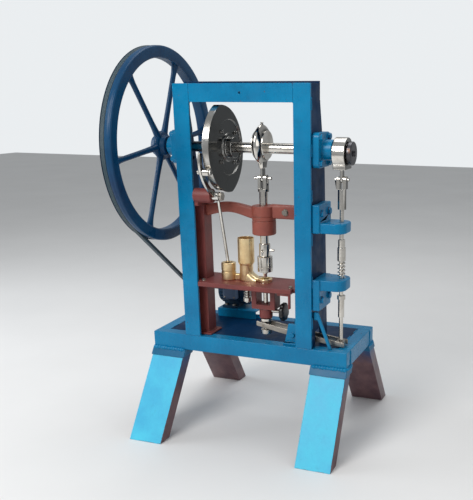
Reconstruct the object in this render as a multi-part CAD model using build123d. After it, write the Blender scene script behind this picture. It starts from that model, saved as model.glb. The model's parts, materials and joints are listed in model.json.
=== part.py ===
from build123d import *
import os
from math import asin, atan2, cos, hypot, radians, sin

# Single-punch tablet press on a four-legged stand. Millimetres, +Z up, the operator stands at -Y.
# While it is drawn, X = 0 and Y = 0 are the centre of the stand, and Z = 0 is the floor.
# save() then moves each piece, so that Y = 0 is the middle of the whole press, from wheel to rear feet.

# ---- stand ----
base_length = 635.0
base_depth = 275.0
base_top = 300.0
rail_height = 50.0
rail_width = 38.0
rail_wall = 4.0
deck_thickness = 6.0
leg_width = 108.0
leg_depth = 52.0
leg_wall = 6.0
leg_splay = 161.0
leg_spread = 7.0
collar_height = 22.0
collar_wall = 3.0

# ---- upright frame ----
frame_left = -204.0
frame_right = 210.0
frame_top = 1040.0
stile_width = 50.0
stile_thickness = 8.0
plate_thickness = 6.0
plate_top_depth = 68.0
plate_shoulder_z = 800.0
plate_shoulder_y = -22.0
plate_foot_y = 0.0
rear_bar_height = 50.0
rear_bar_thickness = 8.0
rear_bar_rise = 6.0
cover_thickness = 4.0
guard_screw_hole_r = 3.0

# ---- main shaft ----
shaft_y = -80.0
shaft_z = 865.0
shaft_r = 15.0
running_gap = 0.05
clear_gap = 0.3
flange_size = 95.0
flange_thickness = 20.0
flange_bolt_spacing = 70.0
boss_r = 28.0
boss_reach = 28.0
shaft_hole_gap = 6.0
flange_corner_r = 14.0
flange_bolt_r = 5.0
flange_head_r = 9.0
bolt_head = 7.0

# ---- flywheel, pulley and belt ----
wheel_r = 280.0
wheel_width = 36.0
wheel_rim = 34.0
wheel_centre_x = -282.0
wheel_hub_r = 36.0
wheel_hub_length = 46.0
spoke_r = 8.0
spoke_count = 6
spoke_lead = -23.0
belt_width = 13.0
belt_height = 9.0
belt_gap = 0.6
belt_shift = 9.0
groove_spare = 1.0
motor_y = 130.0
motor_z = 385.0
pulley_r = 36.0
pulley_width = 26.0
motor_shaft_r = 7.0

# ---- motor ----
motor_right = -101.0
motor_length = 104.0
motor_r = 48.0
rib_height = 4.0
rib_width = 3.0
rib_count = 24
rib_end = 5.0
fan_cover_length = 24.0
fan_cover_round = 8.0
motor_base_right = -67.0
motor_base_half = 52.0
motor_base_height = 28.0
motor_base_wall = 5.0
motor_foot_inset = 14.0
motor_foot_half = 44.0
motor_foot_thickness = 8.0
motor_web_half = 26.0
terminal_box_left = -175.0
terminal_box_right = -128.0
terminal_box_bottom = 366.0
terminal_box_top = 410.0
terminal_box_depth = 26.0

# ---- cam disc and feed lever ----
cam_x = -70.0
cam_r = 128.0
cam_width = 20.0
cam_hub_r = 30.0
cam_hub_length = 18.0
cam_fall = 40.0
cam_rim = 10.0
cam_recess = 4.0
cam_bolt_r = 5.0
cam_bolt_count = 4
cam_bolt_lead = -40.0
roller_r = 11.0
roller_width = 18.0
roller_drop = 60.0
lever_plane_x = -86.0
lever_thickness = 7.0
lever_pivot_y = -130.0
lever_pivot_z = 730.0
lever_pin_r = 8.0
lever_rod_r = 4.5
lever_ball_r = 6.5
lever_hub_r = 13.0
lever_arm_width = 15.0
roller_pin_r = 4.0
roller_pin_head_r = 7.0
lever_rod_offset = 16.0
pivot_boss_r = 21.0

# ---- ram ----
ram_x = 43.0
ram_r = 12.5
ram_throw = 9.0
ram_strap_r = 56.0
ram_strap_bore_r = 40.0
ram_strap_width = 28.0
ram_centres = 93.0
ram_blade = 8.0
ram_blade_r = 11.0
ram_neck_half = 20.0
ram_shoulder_half = 8.0
neck_gap = 2.0
oil_cup_r = 4.5
oil_cup_height = 7.0
fork_cheek_r = 10.0
pin_share = 0.45
fork_width = 26.0
fork_collar_r = 16.0
fork_screw_reach = 26.0
screw_neck_r = 3.0
screw_head_r = 4.5
screw_head = 4.0
fork_collar_z = 743.0
guide_bottom = 619.0
guide_top = 703.0
guide_boss_r = 35.0
cross_bar_height = 40.0
cross_bar_thickness = 12.0
holder_r = 16.5
holder_top = 592.0
nut_r = 22.5
nut_top = 553.0
nut_bottom = 508.0
nut_slot_count = 8
punch_r = 5.5
punch_shank_r = 8.0
punch_tip_rest = 490.0

# ---- table, die and shoe ----
table_top = 476.0
table_thickness = 14.0
table_front = -150.0
table_back = -20.0
die_r = 19.0
die_gap = 0.2
column_left = -190.0
column_width = 50.0
column_depth = 48.0
column_wall = 6.0
column_top = 700.0
shoe_pivot_x = -18.0
shoe_body_r = 20.0
shoe_arm_top = 512.0
shoe_mouth_top = 487.0
shoe_mouth_r = 21.0
shoe_mouth_bore_r = 14.0
shoe_lift = 0.4
tail_reach = 56.0
tail_angle = 187.0
block_r = 22.0
block_height = 52.0
socket_r = 12.0
hopper_r = 24.5
hopper_wall = 1.6
hopper_bottom = 531.4
hopper_top = 605.0
stud_r = 6.0
shoe_spring_r = 9.5
shoe_spring_wire_r = 1.6
shoe_spring_turns = 5
shoe_arm_half = 13.0
block_groove_z = 24.0
block_groove_height = 4.0
block_groove_depth = 2.0
block_socket_depth = 26.0

# ---- lower punch and its bridge ----
bridge_width = 76.0
bridge_depth = 44.0
bridge_bottom = 395.0
guide_tube_r = 20.0
guide_tube_bottom = 366.0
stem_r = 7.0
stem_bottom = 312.0
stem_collar_r = 18.0
stem_collar_height = 8.0
lower_tip_depth = 4.6
knob_x = 94.0
knob_r = 28.0
knob_drop = 7.0
knob_width = 14.0
knob_stem_r = 6.0
knob_end_gap = 2.0

# ---- ejector rod on the right ----
ejector_x = 281.0
ejector_throw = 8.0
ejector_strap_r = 43.0
ejector_strap_bore_r = 27.0
ejector_strap_width = 36.0
ejector_centres = 71.0
ejector_blade_r = 9.0
ejector_neck_half = 30.0
ejector_cheek_r = 9.5
ejector_fork_width = 28.0
ejector_collar_r = 12.0
ejector_screw_reach = 20.0
cap_r = 32.0
cap_thickness = 14.0
rod_r = 6.0
rod_foot_gap = 1.3
rod_spring_r = 9.5
rod_spring_wire_r = 2.0
rod_spring_turns = 4.5
stop_collar_r = 12.0
stop_collar_low = 52.0
stop_collar_top = 90.0
upper_sleeve_r = 10.0
lower_collar_height = 12.0
lower_sleeve_r = 9.0
lower_sleeve_length = 54.0
bracket_depth = 88.0
bracket_riser = 22.0
upper_arm_bottom = 639.0
upper_arm_top = 668.0
upper_riser_top = 719.0
lower_arm_bottom = 475.0
lower_arm_top = 506.0
lower_riser_bottom = 415.0
bracket_reach = 92.0
bracket_bolt_r = 6.0
bracket_bolt_half = 30.0
bracket_head_r = 10.0
bracket_tip_r = 30.0
strut_width = 12.0
strut_foot_width = 10.0

# ---- lift lever ----
lift_pivot_x = 140.0
lift_pivot_z = 328.0
lift_bar_height = 14.0
lift_bar_thickness = 6.0
lift_bar_gap = 28.0
lift_left_rise = 17.0
lift_right_drop = 16.0
lift_pin_r = 7.0

os.makedirs("parts", exist_ok=True)
press_front = shaft_y - wheel_r
press_rear = base_depth / 2 + leg_splay
middle_y = (press_front + press_rear) / 2


def save(name, *solids):
    placed = [Pos(0, -middle_y, 0) * solid for solid in solids]
    shape = placed[0] if len(placed) == 1 else Compound(children=placed)
    export_step(shape, f"parts/{name}.step")


def block(x0, x1, y0, y1, z0, z1):
    low = (min(x0, x1), min(y0, y1), min(z0, z1))
    size = (abs(x1 - x0), abs(y1 - y0), abs(z1 - z0))
    return Pos(*low) * Box(*size, align=(Align.MIN, Align.MIN, Align.MIN))


def rod_along_x(r, x0, x1, y, z):
    return Pos((x0 + x1) / 2, y, z) * Rot(0, 90, 0) * Cylinder(r, abs(x1 - x0))


def rod_along_y(r, x, y0, y1, z):
    return Pos(x, (y0 + y1) / 2, z) * Rot(90, 0, 0) * Cylinder(r, abs(y1 - y0))


def rod_along_z(r, x, y, z0, z1):
    return Pos(x, y, (z0 + z1) / 2) * Cylinder(r, abs(z1 - z0))


def hexagon_along_x(r, x0, x1, y, z):
    outline = Plane.YZ * RegularPolygon(r, 6)
    return Pos(x0, y, z) * extrude(outline, x1 - x0)


def plate_in_yz(points, x0, x1):
    outline = make_face(Polyline([(0, y, z) for y, z in points], close=True))
    return Pos(x0, 0, 0) * extrude(outline, x1 - x0, dir=(1, 0, 0))


def plate_in_xz(points, y0, y1):
    outline = make_face(Polyline([(x, 0, z) for x, z in points], close=True))
    return Pos(0, y0, 0) * extrude(outline, y1 - y0, dir=(0, 1, 0))


def coil_along_z(r, wire_r, x, y, z0, z1, turns):
    height = z1 - z0 - 2 * wire_r
    path = Helix(pitch=height / turns, height=height, radius=r)
    start = Plane(origin=path @ 0, z_dir=path % 0)
    wire = sweep(start * Circle(wire_r), path=path, is_frenet=True)
    return Pos(x, y, z0 + wire_r) * wire


def bolts_along_x(r, head_r, head, length, x, outward, places):
    pieces = []
    for y, z in places:
        shank = rod_along_x(r, x - outward * length, x, y, z)
        cap = rod_along_x(head_r, x, x + outward * head, y, z)
        pieces.append(shank + cap)
    return pieces


# ================= stand =================
front_y = -base_depth / 2
rear_y = base_depth / 2
base_left = -base_length / 2
base_right = base_length / 2
rail_bottom = base_top - rail_height


def channel_rail(x0, x1, y_outer, inward):
    solid = block(x0, x1, y_outer, y_outer + inward * rail_width, rail_bottom, base_top)
    hollow = block(x0 + rail_wall, x1 - rail_wall, y_outer + inward * rail_wall,
                   y_outer + inward * (rail_width + 1), rail_bottom + rail_wall, base_top - rail_wall)
    return solid - hollow


save("base_front_rail", channel_rail(base_left, base_right, front_y, 1))
save("base_rear_rail", channel_rail(base_left, base_right, rear_y, -1))
end_rail = block(0, rail_width, front_y + rail_width, rear_y - rail_width, rail_bottom, base_top)
end_hollow = block(rail_wall, rail_width + 1, front_y, rear_y, rail_bottom + rail_wall, base_top - rail_wall)
end_channel = end_rail - end_hollow
save("base_end_rails", Pos(base_left, 0, 0) * end_channel,
     Pos(base_right, 0, 0) * mirror(end_channel, about=Plane.YZ))
deck_bottom = base_top - deck_thickness
deck = block(base_left + rail_width, base_right - rail_width, front_y + rail_width, rear_y - rail_width,
             deck_bottom, base_top)
save("deck_plate", deck)


def leg(side, end):
    shift = Vector(-side * leg_spread, -end * leg_splay, rail_bottom)
    direction = shift.normalized()

    def sheared(x0, x1, y0, y1, fraction):
        foot = Pos(side * (x0 + x1) / 2, end * (y0 + y1) / 2, 0) * Rectangle(x1 - x0, y1 - y0)
        return extrude(foot, shift.length * fraction, dir=direction)

    outer_x = base_right + leg_spread
    outer_y = rear_y + leg_splay
    shell = sheared(outer_x - leg_width, outer_x, outer_y - leg_depth, outer_y, 1.0)
    hollow = sheared(outer_x - leg_width + leg_wall, outer_x - leg_wall, outer_y - leg_depth + leg_wall,
                     outer_y - leg_wall, 1.0)
    collar = sheared(outer_x - leg_width - collar_wall, outer_x + collar_wall,
                     outer_y - leg_depth - collar_wall, outer_y + collar_wall, 1.0)
    collar_zone = block(-base_length, base_length, -base_length, base_length,
                        rail_bottom - collar_height, rail_bottom)
    return shell - hollow + ((collar - hollow) & collar_zone)


save("leg_front_left", leg(-1, -1))
save("leg_front_right", leg(1, -1))
save("leg_rear_left", leg(-1, 1))
save("leg_rear_right", leg(1, 1))

# ================= upright frame =================
stile_back = front_y + stile_thickness
rail_z = frame_top - stile_width
frame_centre = (frame_left + frame_right) / 2
save("left_stile", block(frame_left, frame_left + stile_width, front_y, stile_back, base_top, frame_top))
save("right_stile", block(frame_right - stile_width, frame_right, front_y, stile_back, base_top, frame_top))
top_rail = block(frame_left + stile_width, frame_right - stile_width, front_y, stile_back, rail_z, frame_top)
guard_screw_z = (rail_z + frame_top) / 2
top_rail -= rod_along_y(guard_screw_hole_r, frame_centre, front_y - 1, stile_back + 1, guard_screw_z)
save("top_rail", top_rail)

plate_outline = [(stile_back, base_top), (stile_back, frame_top), (front_y + plate_top_depth, frame_top),
                 (plate_shoulder_y, plate_shoulder_z), (plate_foot_y, base_top)]
bearing_hole_r = shaft_r + shaft_hole_gap
lever_slot = (shaft_y - 24, shaft_y + 24, base_top - 1, base_top + 46)


def side_plate(x0, x1):
    plate = plate_in_yz(plate_outline, x0, x1)
    return plate - rod_along_x(bearing_hole_r, x0 - 1, x1 + 1, shaft_y, shaft_z)


left_plate = side_plate(frame_left, frame_left + plate_thickness)
right_plate = side_plate(frame_right - plate_thickness, frame_right)
right_plate -= block(frame_right - plate_thickness - 1, frame_right + 1, *lever_slot)

rear_bar_y = front_y + plate_top_depth
inner_left = frame_left + plate_thickness
inner_right = frame_right - plate_thickness
rear_bar = block(frame_left, frame_right, rear_bar_y, rear_bar_y + rear_bar_thickness,
                 frame_top + rear_bar_rise - rear_bar_height, frame_top + rear_bar_rise)
left_plate -= rear_bar
right_plate -= rear_bar
cover = block(inner_left, inner_right, stile_back, rear_bar_y, frame_top - cover_thickness, frame_top)
save("top_cover", cover + rear_bar)

# ================= bearings =================
bolt_half = flange_bolt_spacing / 2
flange_bolt_places = [(shaft_y + a * bolt_half, shaft_z + b * bolt_half) for a in (-1, 1) for b in (-1, 1)]


def bearing(x_face, outward):
    near, far = sorted((x_face, x_face + outward * flange_thickness))
    half = flange_size / 2
    flange = block(near, far, shaft_y - half, shaft_y + half, shaft_z - half, shaft_z + half)
    flange = fillet(flange.edges().filter_by(Axis.X), flange_corner_r)
    boss = rod_along_x(boss_r, x_face + outward * flange_thickness,
                       x_face + outward * (flange_thickness + boss_reach), shaft_y, shaft_z)
    bore = rod_along_x(shaft_r + running_gap, x_face - outward,
                       x_face + outward * (flange_thickness + boss_reach + 1), shaft_y, shaft_z)
    housing = flange + boss - bore
    for y, z in flange_bolt_places:
        housing -= rod_along_x(flange_bolt_r, near - 1, far + 1, y, z)
    return housing


save("left_bearing", bearing(frame_left, -1))
save("right_bearing", bearing(frame_right, 1))
for y, z in flange_bolt_places:
    left_plate -= rod_along_x(flange_bolt_r, frame_left - 1, inner_left + 1, y, z)
    right_plate -= rod_along_x(flange_bolt_r, inner_right - 1, frame_right + 1, y, z)
bolt_grip = flange_thickness + plate_thickness
bearing_bolts = bolts_along_x(flange_bolt_r, flange_head_r, bolt_head, bolt_grip,
                              frame_right + flange_thickness, 1, flange_bolt_places)
bearing_bolts += bolts_along_x(flange_bolt_r, flange_head_r, bolt_head, bolt_grip,
                               frame_left - flange_thickness, -1, flange_bolt_places)

# ================= red press castings =================
column_right = column_left + column_width
column_front = shaft_y - column_depth / 2
column_back = shaft_y + column_depth / 2
column = block(column_left, column_right, column_front, column_back, base_top, column_top)
column -= block(column_left + column_wall, column_right - column_wall, column_front + column_wall,
                column_back + 1, base_top + column_wall, column_top - column_wall)
foot = block(column_left - 6, column_right + 14, column_front - 14, column_back + 10, base_top,
             base_top + column_wall)
boss_left = column_right - 10
boss_right = lever_plane_x - 8
bracket_foot = block(column_left + 6, column_right, column_front + 4, column_back - 4,
                     column_top, column_top + 10)
bracket_web = block(boss_left, boss_left + 12, lever_pivot_y - 10, column_back - 4, column_top,
                    lever_pivot_z + 12)
pivot_boss = rod_along_x(pivot_boss_r, boss_left, boss_right, lever_pivot_y, lever_pivot_z)
pivot_bracket = bracket_foot + bracket_web + pivot_boss
pivot_bracket -= rod_along_x(lever_pin_r, boss_left - 1, boss_right + 1, lever_pivot_y, lever_pivot_z)
save("left_column", column + foot + pivot_bracket)

bar_bottom = guide_top - cross_bar_height
half_bar = cross_bar_thickness / 2
cross_bar = block(column_right, inner_right - 8, shaft_y - half_bar, shaft_y + half_bar,
                  bar_bottom, column_top)
end_pad = block(inner_right - 8, inner_right, shaft_y - 26, shaft_y + 26, bar_bottom - 8, guide_top + 6)
guide = rod_along_z(guide_boss_r, ram_x, shaft_y, guide_bottom, guide_top)
guide = chamfer(guide.edges().filter_by(GeomType.CIRCLE), 2)
for groove_z in (guide_bottom + 40, guide_bottom + 52):
    ring = rod_along_z(guide_boss_r + 1, ram_x, shaft_y, groove_z, groove_z + 3)
    guide -= ring - rod_along_z(guide_boss_r - 1.5, ram_x, shaft_y, groove_z, groove_z + 3)
ram_guide = cross_bar + end_pad + guide
ram_guide -= rod_along_z(ram_r + running_gap, ram_x, shaft_y, guide_bottom - 1, guide_top + 1)
save("ram_guide", ram_guide)
guide_bolt_x = ram_x + 70
guide_bolt_z = (bar_bottom + guide_top) / 2
guide_bolt = rod_along_y(9, guide_bolt_x, shaft_y - half_bar - 6, shaft_y - half_bar, guide_bolt_z)

# ================= table and die =================
table_bottom = table_top - table_thickness
table = block(inner_left, inner_right, stile_back + clear_gap, table_back, table_bottom, table_top)
apron_left = frame_left + stile_width + 8
apron_right = frame_right - stile_width - 8
table += block(apron_left, apron_right, table_front, stile_back + 5, table_bottom, table_top)
table -= block(column_left - clear_gap, column_right + clear_gap, column_front - clear_gap,
               column_back + clear_gap, table_bottom - 1, table_top + 1)
table -= rod_along_z(die_r, ram_x, shaft_y, table_bottom - 1, table_top + 1)
table -= rod_along_z(stud_r + clear_gap, shoe_pivot_x, shaft_y, table_bottom - 1, table_top + 1)
support_x = apron_right - 4
table += block(support_x - 40, support_x, table_front + 2, table_front + 12, table_bottom - 6, table_bottom)
table += block(support_x - 6, support_x, table_front + 2, table_front + 12, table_bottom - 44, table_bottom)
save("die_table", table)
die = rod_along_z(die_r, ram_x, shaft_y, table_bottom, table_top)
die -= rod_along_z(punch_r + die_gap, ram_x, shaft_y, table_bottom - 1, table_top + 1)
save("die", die)
table_bolt_places = [(apron_left + 9, table_front + 22), (apron_right - 9, table_front + 22),
                     (inner_right - 40, table_back - 14), (column_right + 30, table_back - 14)]
table_bolts = [rod_along_z(6, x, y, table_top, table_top + 6) for x, y in table_bolt_places]
save("press_bolts", guide_bolt, *table_bolts)

bridge_half = bridge_width / 2
bridge_half_depth = bridge_depth / 2
bridge = block(ram_x - bridge_half, ram_x + bridge_half,
               shaft_y - bridge_half_depth, shaft_y + bridge_half_depth, bridge_bottom, table_bottom)
window_bottom = bridge_bottom + 14
window_top = table_bottom - 16
window_half = bridge_half - 16
bridge -= block(ram_x - window_half, ram_x + window_half, shaft_y - bridge_half_depth - 1,
                shaft_y + bridge_half_depth + 1, window_bottom, window_top)
bridge += rod_along_z(guide_tube_r, ram_x, shaft_y, guide_tube_bottom, bridge_bottom)
bridge -= rod_along_z(stem_r + running_gap, ram_x, shaft_y, guide_tube_bottom - 1, table_bottom + 1)
knob_z = bridge_bottom - knob_drop
knob_hole_start = ram_x + stem_r + knob_end_gap
bridge -= rod_along_x(knob_stem_r + running_gap, knob_hole_start, ram_x + guide_tube_r + 1, shaft_y, knob_z)
save("lower_bridge", bridge)

knob_stem = rod_along_x(knob_stem_r, knob_hole_start + clear_gap, knob_x, shaft_y, knob_z)
knob = rod_along_x(knob_r, knob_x, knob_x + knob_width, shaft_y, knob_z)
knob = fillet(knob.edges().filter_by(GeomType.CIRCLE), 4)
save("lock_knob", knob + knob_stem)

# ================= shaft, flywheel, cam disc and eccentrics =================
wheel_outer_x = wheel_centre_x - wheel_width / 2
hub_half = wheel_hub_length / 2
shaft_left = wheel_centre_x - hub_half - 6
ejector_left = ejector_x - ejector_strap_width / 2
ejector_right = ejector_x + ejector_strap_width / 2
cap_left = ejector_right + 1.0
shaft_right = cap_left + 4
save("main_shaft", rod_along_x(shaft_r, shaft_left, shaft_right, shaft_y, shaft_z))

belt_x = wheel_centre_x - belt_shift
groove_floor = wheel_r - belt_height - groove_spare
groove_half = belt_width / 2 + belt_gap
rim = rod_along_x(wheel_r, wheel_outer_x, wheel_outer_x + wheel_width, shaft_y, shaft_z)
rim -= rod_along_x(wheel_r - wheel_rim, wheel_outer_x - 1, wheel_outer_x + wheel_width + 1, shaft_y, shaft_z)
groove_left = belt_x - groove_half
groove_right = belt_x + groove_half
belt_slot = rod_along_x(wheel_r + 1, groove_left, groove_right, shaft_y, shaft_z)
belt_slot -= rod_along_x(groove_floor, groove_left, groove_right, shaft_y, shaft_z)
wheel = rim - belt_slot
wheel += rod_along_x(wheel_hub_r, wheel_centre_x - hub_half, wheel_centre_x + hub_half, shaft_y, shaft_z)
for i in range(spoke_count):
    angle = spoke_lead + i * 360 / spoke_count
    middle = (wheel_hub_r + wheel_r - wheel_rim) / 2
    length = wheel_r - wheel_rim - wheel_hub_r + 8
    spoke = Rot(angle, 0, 0) * (Pos(0, 0, middle) * Cylinder(spoke_r, length))
    wheel += Pos(wheel_centre_x, shaft_y, shaft_z) * spoke
wheel -= rod_along_x(shaft_r, wheel_centre_x - hub_half - 1, wheel_centre_x + hub_half + 1, shaft_y, shaft_z)
save("flywheel", wheel)

cam_left = cam_x - cam_width / 2
cam_right = cam_x + cam_width / 2
cam = rod_along_x(cam_r, cam_left, cam_right, shaft_y, shaft_z)
cam &= rod_along_x(cam_r, cam_left, cam_right, shaft_y - cam_fall, shaft_z - cam_fall / 4)
recess = rod_along_x(cam_r - cam_fall - cam_rim, cam_right - cam_recess, cam_right + 1, shaft_y, shaft_z)
recess -= rod_along_x(cam_hub_r + cam_rim, cam_right - cam_recess, cam_right + 1, shaft_y, shaft_z)
cam -= recess
cam += rod_along_x(cam_hub_r, cam_right, cam_right + cam_hub_length, shaft_y, shaft_z)
cam_bolt_ring = (cam_r - cam_fall - cam_rim + cam_hub_r + cam_rim) / 2
for i in range(cam_bolt_count):
    angle = radians(cam_bolt_lead + i * 360 / cam_bolt_count)
    bolt_y = shaft_y + cam_bolt_ring * sin(angle)
    bolt_z = shaft_z + cam_bolt_ring * cos(angle)
    cam += rod_along_x(cam_bolt_r, cam_right - cam_recess, cam_right + 3, bolt_y, bolt_z)
cam -= rod_along_x(shaft_r, cam_left - 1, cam_right + cam_hub_length + 1, shaft_y, shaft_z)
save("cam_disc", cam)

ram_centre_z = shaft_z + ram_throw
ram_half = ram_strap_width / 2


def eccentric(x0, x1, r, centre_z, bore_r):
    disc = rod_along_x(r, x0, x1, shaft_y, centre_z)
    return disc - rod_along_x(bore_r, x0 - 1, x1 + 1, shaft_y, shaft_z)


save("ram_eccentric", eccentric(ram_x - ram_half - 3, ram_x + ram_half + 3, ram_strap_bore_r - running_gap,
                                ram_centre_z, shaft_r))
ejector_centre_z = shaft_z - ejector_throw
save("ejector_eccentric", eccentric(ejector_left - 2, cap_left, ejector_strap_bore_r - running_gap,
                                    ejector_centre_z, shaft_r))
cap = rod_along_x(cap_r, cap_left, cap_left + cap_thickness, shaft_y, ejector_centre_z)
cap = fillet(cap.edges().filter_by(GeomType.CIRCLE), 3)
cap -= rod_along_x(shaft_r, cap_left - 1, shaft_right, shaft_y, shaft_z)
cap_face = cap_left + cap_thickness
cap += hexagon_along_x(9, cap_face, cap_face + 6, shaft_y, ejector_centre_z)
save("end_cap", cap)


# ================= straps and forks =================
def strap(x, centre_z, outer_r, bore_r, width, centres, blade_r, neck_half, shoulder_half, shoulder_z):
    half = width / 2
    pin_z = centre_z - centres
    ring = rod_along_x(outer_r, x - half, x + half, shaft_y, centre_z)
    neck_outline = [(x - half, centre_z), (x - half, centre_z - bore_r), (x - shoulder_half, shoulder_z),
                    (x + shoulder_half, shoulder_z), (x + half, centre_z - bore_r), (x + half, centre_z)]
    neck = plate_in_xz(neck_outline, shaft_y - neck_half, shaft_y + neck_half)
    blade = block(x - ram_blade / 2, x + ram_blade / 2, shaft_y - blade_r, shaft_y + blade_r, pin_z, centre_z)
    blade += rod_along_x(blade_r, x - ram_blade / 2, x + ram_blade / 2, shaft_y, pin_z)
    body = ring + neck + blade
    body -= rod_along_x(bore_r, x - half - 1, x + half + 1, shaft_y, centre_z)
    return body - rod_along_x(blade_r * pin_share, x - half - 1, x + half + 1, shaft_y, pin_z)


ram_pin_z = ram_centre_z - ram_centres
ram_shoulder_z = ram_pin_z + fork_cheek_r + 2 * ram_throw + neck_gap
oiler_z = ram_centre_z + ram_strap_r
oiler = rod_along_z(oil_cup_r, ram_x, shaft_y, oiler_z - neck_gap, oiler_z + oil_cup_height)
ram_strap = strap(ram_x, ram_centre_z, ram_strap_r, ram_strap_bore_r, ram_strap_width, ram_centres,
                  ram_blade_r, ram_neck_half, ram_shoulder_half, ram_shoulder_z)
save("ram_strap", oiler + ram_strap)


def fork(x, pin_z, cheek_r, width, slot_bottom, body_bottom, body_r):
    half = width / 2
    cheeks = block(x - half, x + half, shaft_y - cheek_r, shaft_y + cheek_r, slot_bottom, pin_z)
    cheeks += rod_along_x(cheek_r, x - half, x + half, shaft_y, pin_z)
    cheeks -= block(x - ram_blade / 2 - clear_gap, x + ram_blade / 2 + clear_gap, shaft_y - half * 2,
                    shaft_y + half * 2, slot_bottom, pin_z + cheek_r + 1)
    cheeks -= rod_along_x(cheek_r * pin_share, x - half - 1, x + half + 1, shaft_y, pin_z)
    return cheeks + rod_along_z(body_r, x, shaft_y, body_bottom, slot_bottom)


ram_slot_bottom = ram_pin_z - ram_blade_r - 2 * ram_throw - 1


def fork_screws(x, pin_z, cheek_r, width, reach):
    pieces = []
    for side in (-1, 1):
        shank_end = x + side * (ram_blade / 2 + clear_gap)
        cheek_face = x + side * width / 2
        head_start = x + side * (reach - screw_head)
        shank = rod_along_x(cheek_r * pin_share, shank_end, cheek_face, shaft_y, pin_z)
        neck = rod_along_x(screw_neck_r, cheek_face, head_start, shaft_y, pin_z)
        head = rod_along_x(screw_head_r, head_start, x + side * reach, shaft_y, pin_z)
        pieces.append(shank + neck + head)
    return pieces


ram_fork = fork(ram_x, ram_pin_z, fork_cheek_r, fork_width, ram_slot_bottom, fork_collar_z, fork_collar_r)
save("ram_fork", ram_fork, *fork_screws(ram_x, ram_pin_z, fork_cheek_r, fork_width, fork_screw_reach))
save("ram_rod", rod_along_z(ram_r, ram_x, shaft_y, holder_top, fork_collar_z))

holder = rod_along_z(holder_r, ram_x, shaft_y, nut_top, holder_top)
holder = chamfer(holder.edges().filter_by(GeomType.CIRCLE), 1.5)
screw_z = (nut_top + holder_top) / 2
holder -= rod_along_y(3.5, ram_x, shaft_y - holder_r - 1, shaft_y - holder_r + 8, screw_z)
holder += rod_along_x(3.5, ram_x, ram_x + holder_r + 14, shaft_y, screw_z)
save("punch_holder", holder)
nut = rod_along_z(nut_r, ram_x, shaft_y, nut_bottom, nut_top)
for i in range(nut_slot_count):
    cut = Pos(nut_r, 0, (nut_bottom + nut_top) / 2 + 6) * Box(5, 6, nut_top - nut_bottom - 14)
    nut -= Pos(ram_x, shaft_y, 0) * Rot(0, 0, i * 360 / nut_slot_count) * cut
nut -= rod_along_z(punch_shank_r, ram_x, shaft_y, nut_bottom - 1, nut_top + 1)
save("punch_nut", nut)
upper_punch = rod_along_z(punch_shank_r, ram_x, shaft_y, punch_tip_rest + 12, nut_top)
upper_punch += rod_along_z(punch_r, ram_x, shaft_y, punch_tip_rest, punch_tip_rest + 12)
save("upper_punch", upper_punch)

# ================= feed lever =================
roller_reach = cam_r + clear_gap + roller_r
roller_y = shaft_y - (roller_reach ** 2 - roller_drop ** 2) ** 0.5
roller_z = shaft_z - roller_drop
arm_left = lever_plane_x - lever_thickness / 2
arm_right = lever_plane_x + lever_thickness / 2
arm_path = Spline([(0, lever_pivot_y, lever_pivot_z), (0, (lever_pivot_y + roller_y) / 2 - 10,
                  (lever_pivot_z + roller_z) / 2 - 4), (0, roller_y, roller_z),
                  (0, roller_y - 3, roller_z + 52)])
arm_start = Plane(origin=arm_path @ 0, z_dir=arm_path % 0, x_dir=(1, 0, 0))
arm = Pos(lever_plane_x, 0, 0) * sweep(arm_start * Rectangle(lever_thickness, lever_arm_width), path=arm_path)
rod_x = boss_right + lever_rod_offset
hub = rod_along_x(lever_hub_r, boss_right + clear_gap, rod_x + 6, lever_pivot_y, lever_pivot_z)
socket_x = shoe_pivot_x + tail_reach * cos(radians(tail_angle))
socket_y = shaft_y + tail_reach * sin(radians(tail_angle))
block_top = table_top + shoe_lift + block_height
ball_z = block_top - 12
rod_end = Vector(socket_x, socket_y, ball_z)
rod_start = Vector(rod_x, lever_pivot_y, lever_pivot_z)
rod_line = rod_end - rod_start
rod_plane = Plane(origin=rod_start, z_dir=rod_line)
lever_rod = extrude(rod_plane * Circle(lever_rod_r), rod_line.length)
lever = arm + hub + lever_rod + Pos(*rod_end) * Sphere(lever_ball_r)
lever -= rod_along_x(lever_pin_r + running_gap, boss_right - 1, rod_x + 8, lever_pivot_y, lever_pivot_z)
pin_end = rod_x + 8
pivot_pin = rod_along_x(lever_pin_r, boss_left, pin_end, lever_pivot_y, lever_pivot_z)
pivot_nut = hexagon_along_x(lever_hub_r, pin_end - 1.5, pin_end + 8, lever_pivot_y, lever_pivot_z)
save("lever_pivot_pin", pivot_pin + pivot_nut)
roller_left = cam_x - roller_width / 2
roller_right = cam_x + roller_width / 2
roller = rod_along_x(roller_r, roller_left, roller_right, roller_y, roller_z)
roller -= rod_along_x(roller_pin_r + running_gap, roller_left - 1, roller_right + 1, roller_y, roller_z)
save("cam_roller", roller)
roller_pin = rod_along_x(roller_pin_r, arm_left - 1, roller_right + clear_gap, roller_y, roller_z)
roller_pin += rod_along_x(roller_pin_head_r, roller_right + clear_gap, roller_right + 6, roller_y, roller_z)
roller_pin += rod_along_x(roller_pin_head_r, arm_left - 7, arm_left, roller_y, roller_z)
save("feed_lever", lever + roller_pin)

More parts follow.
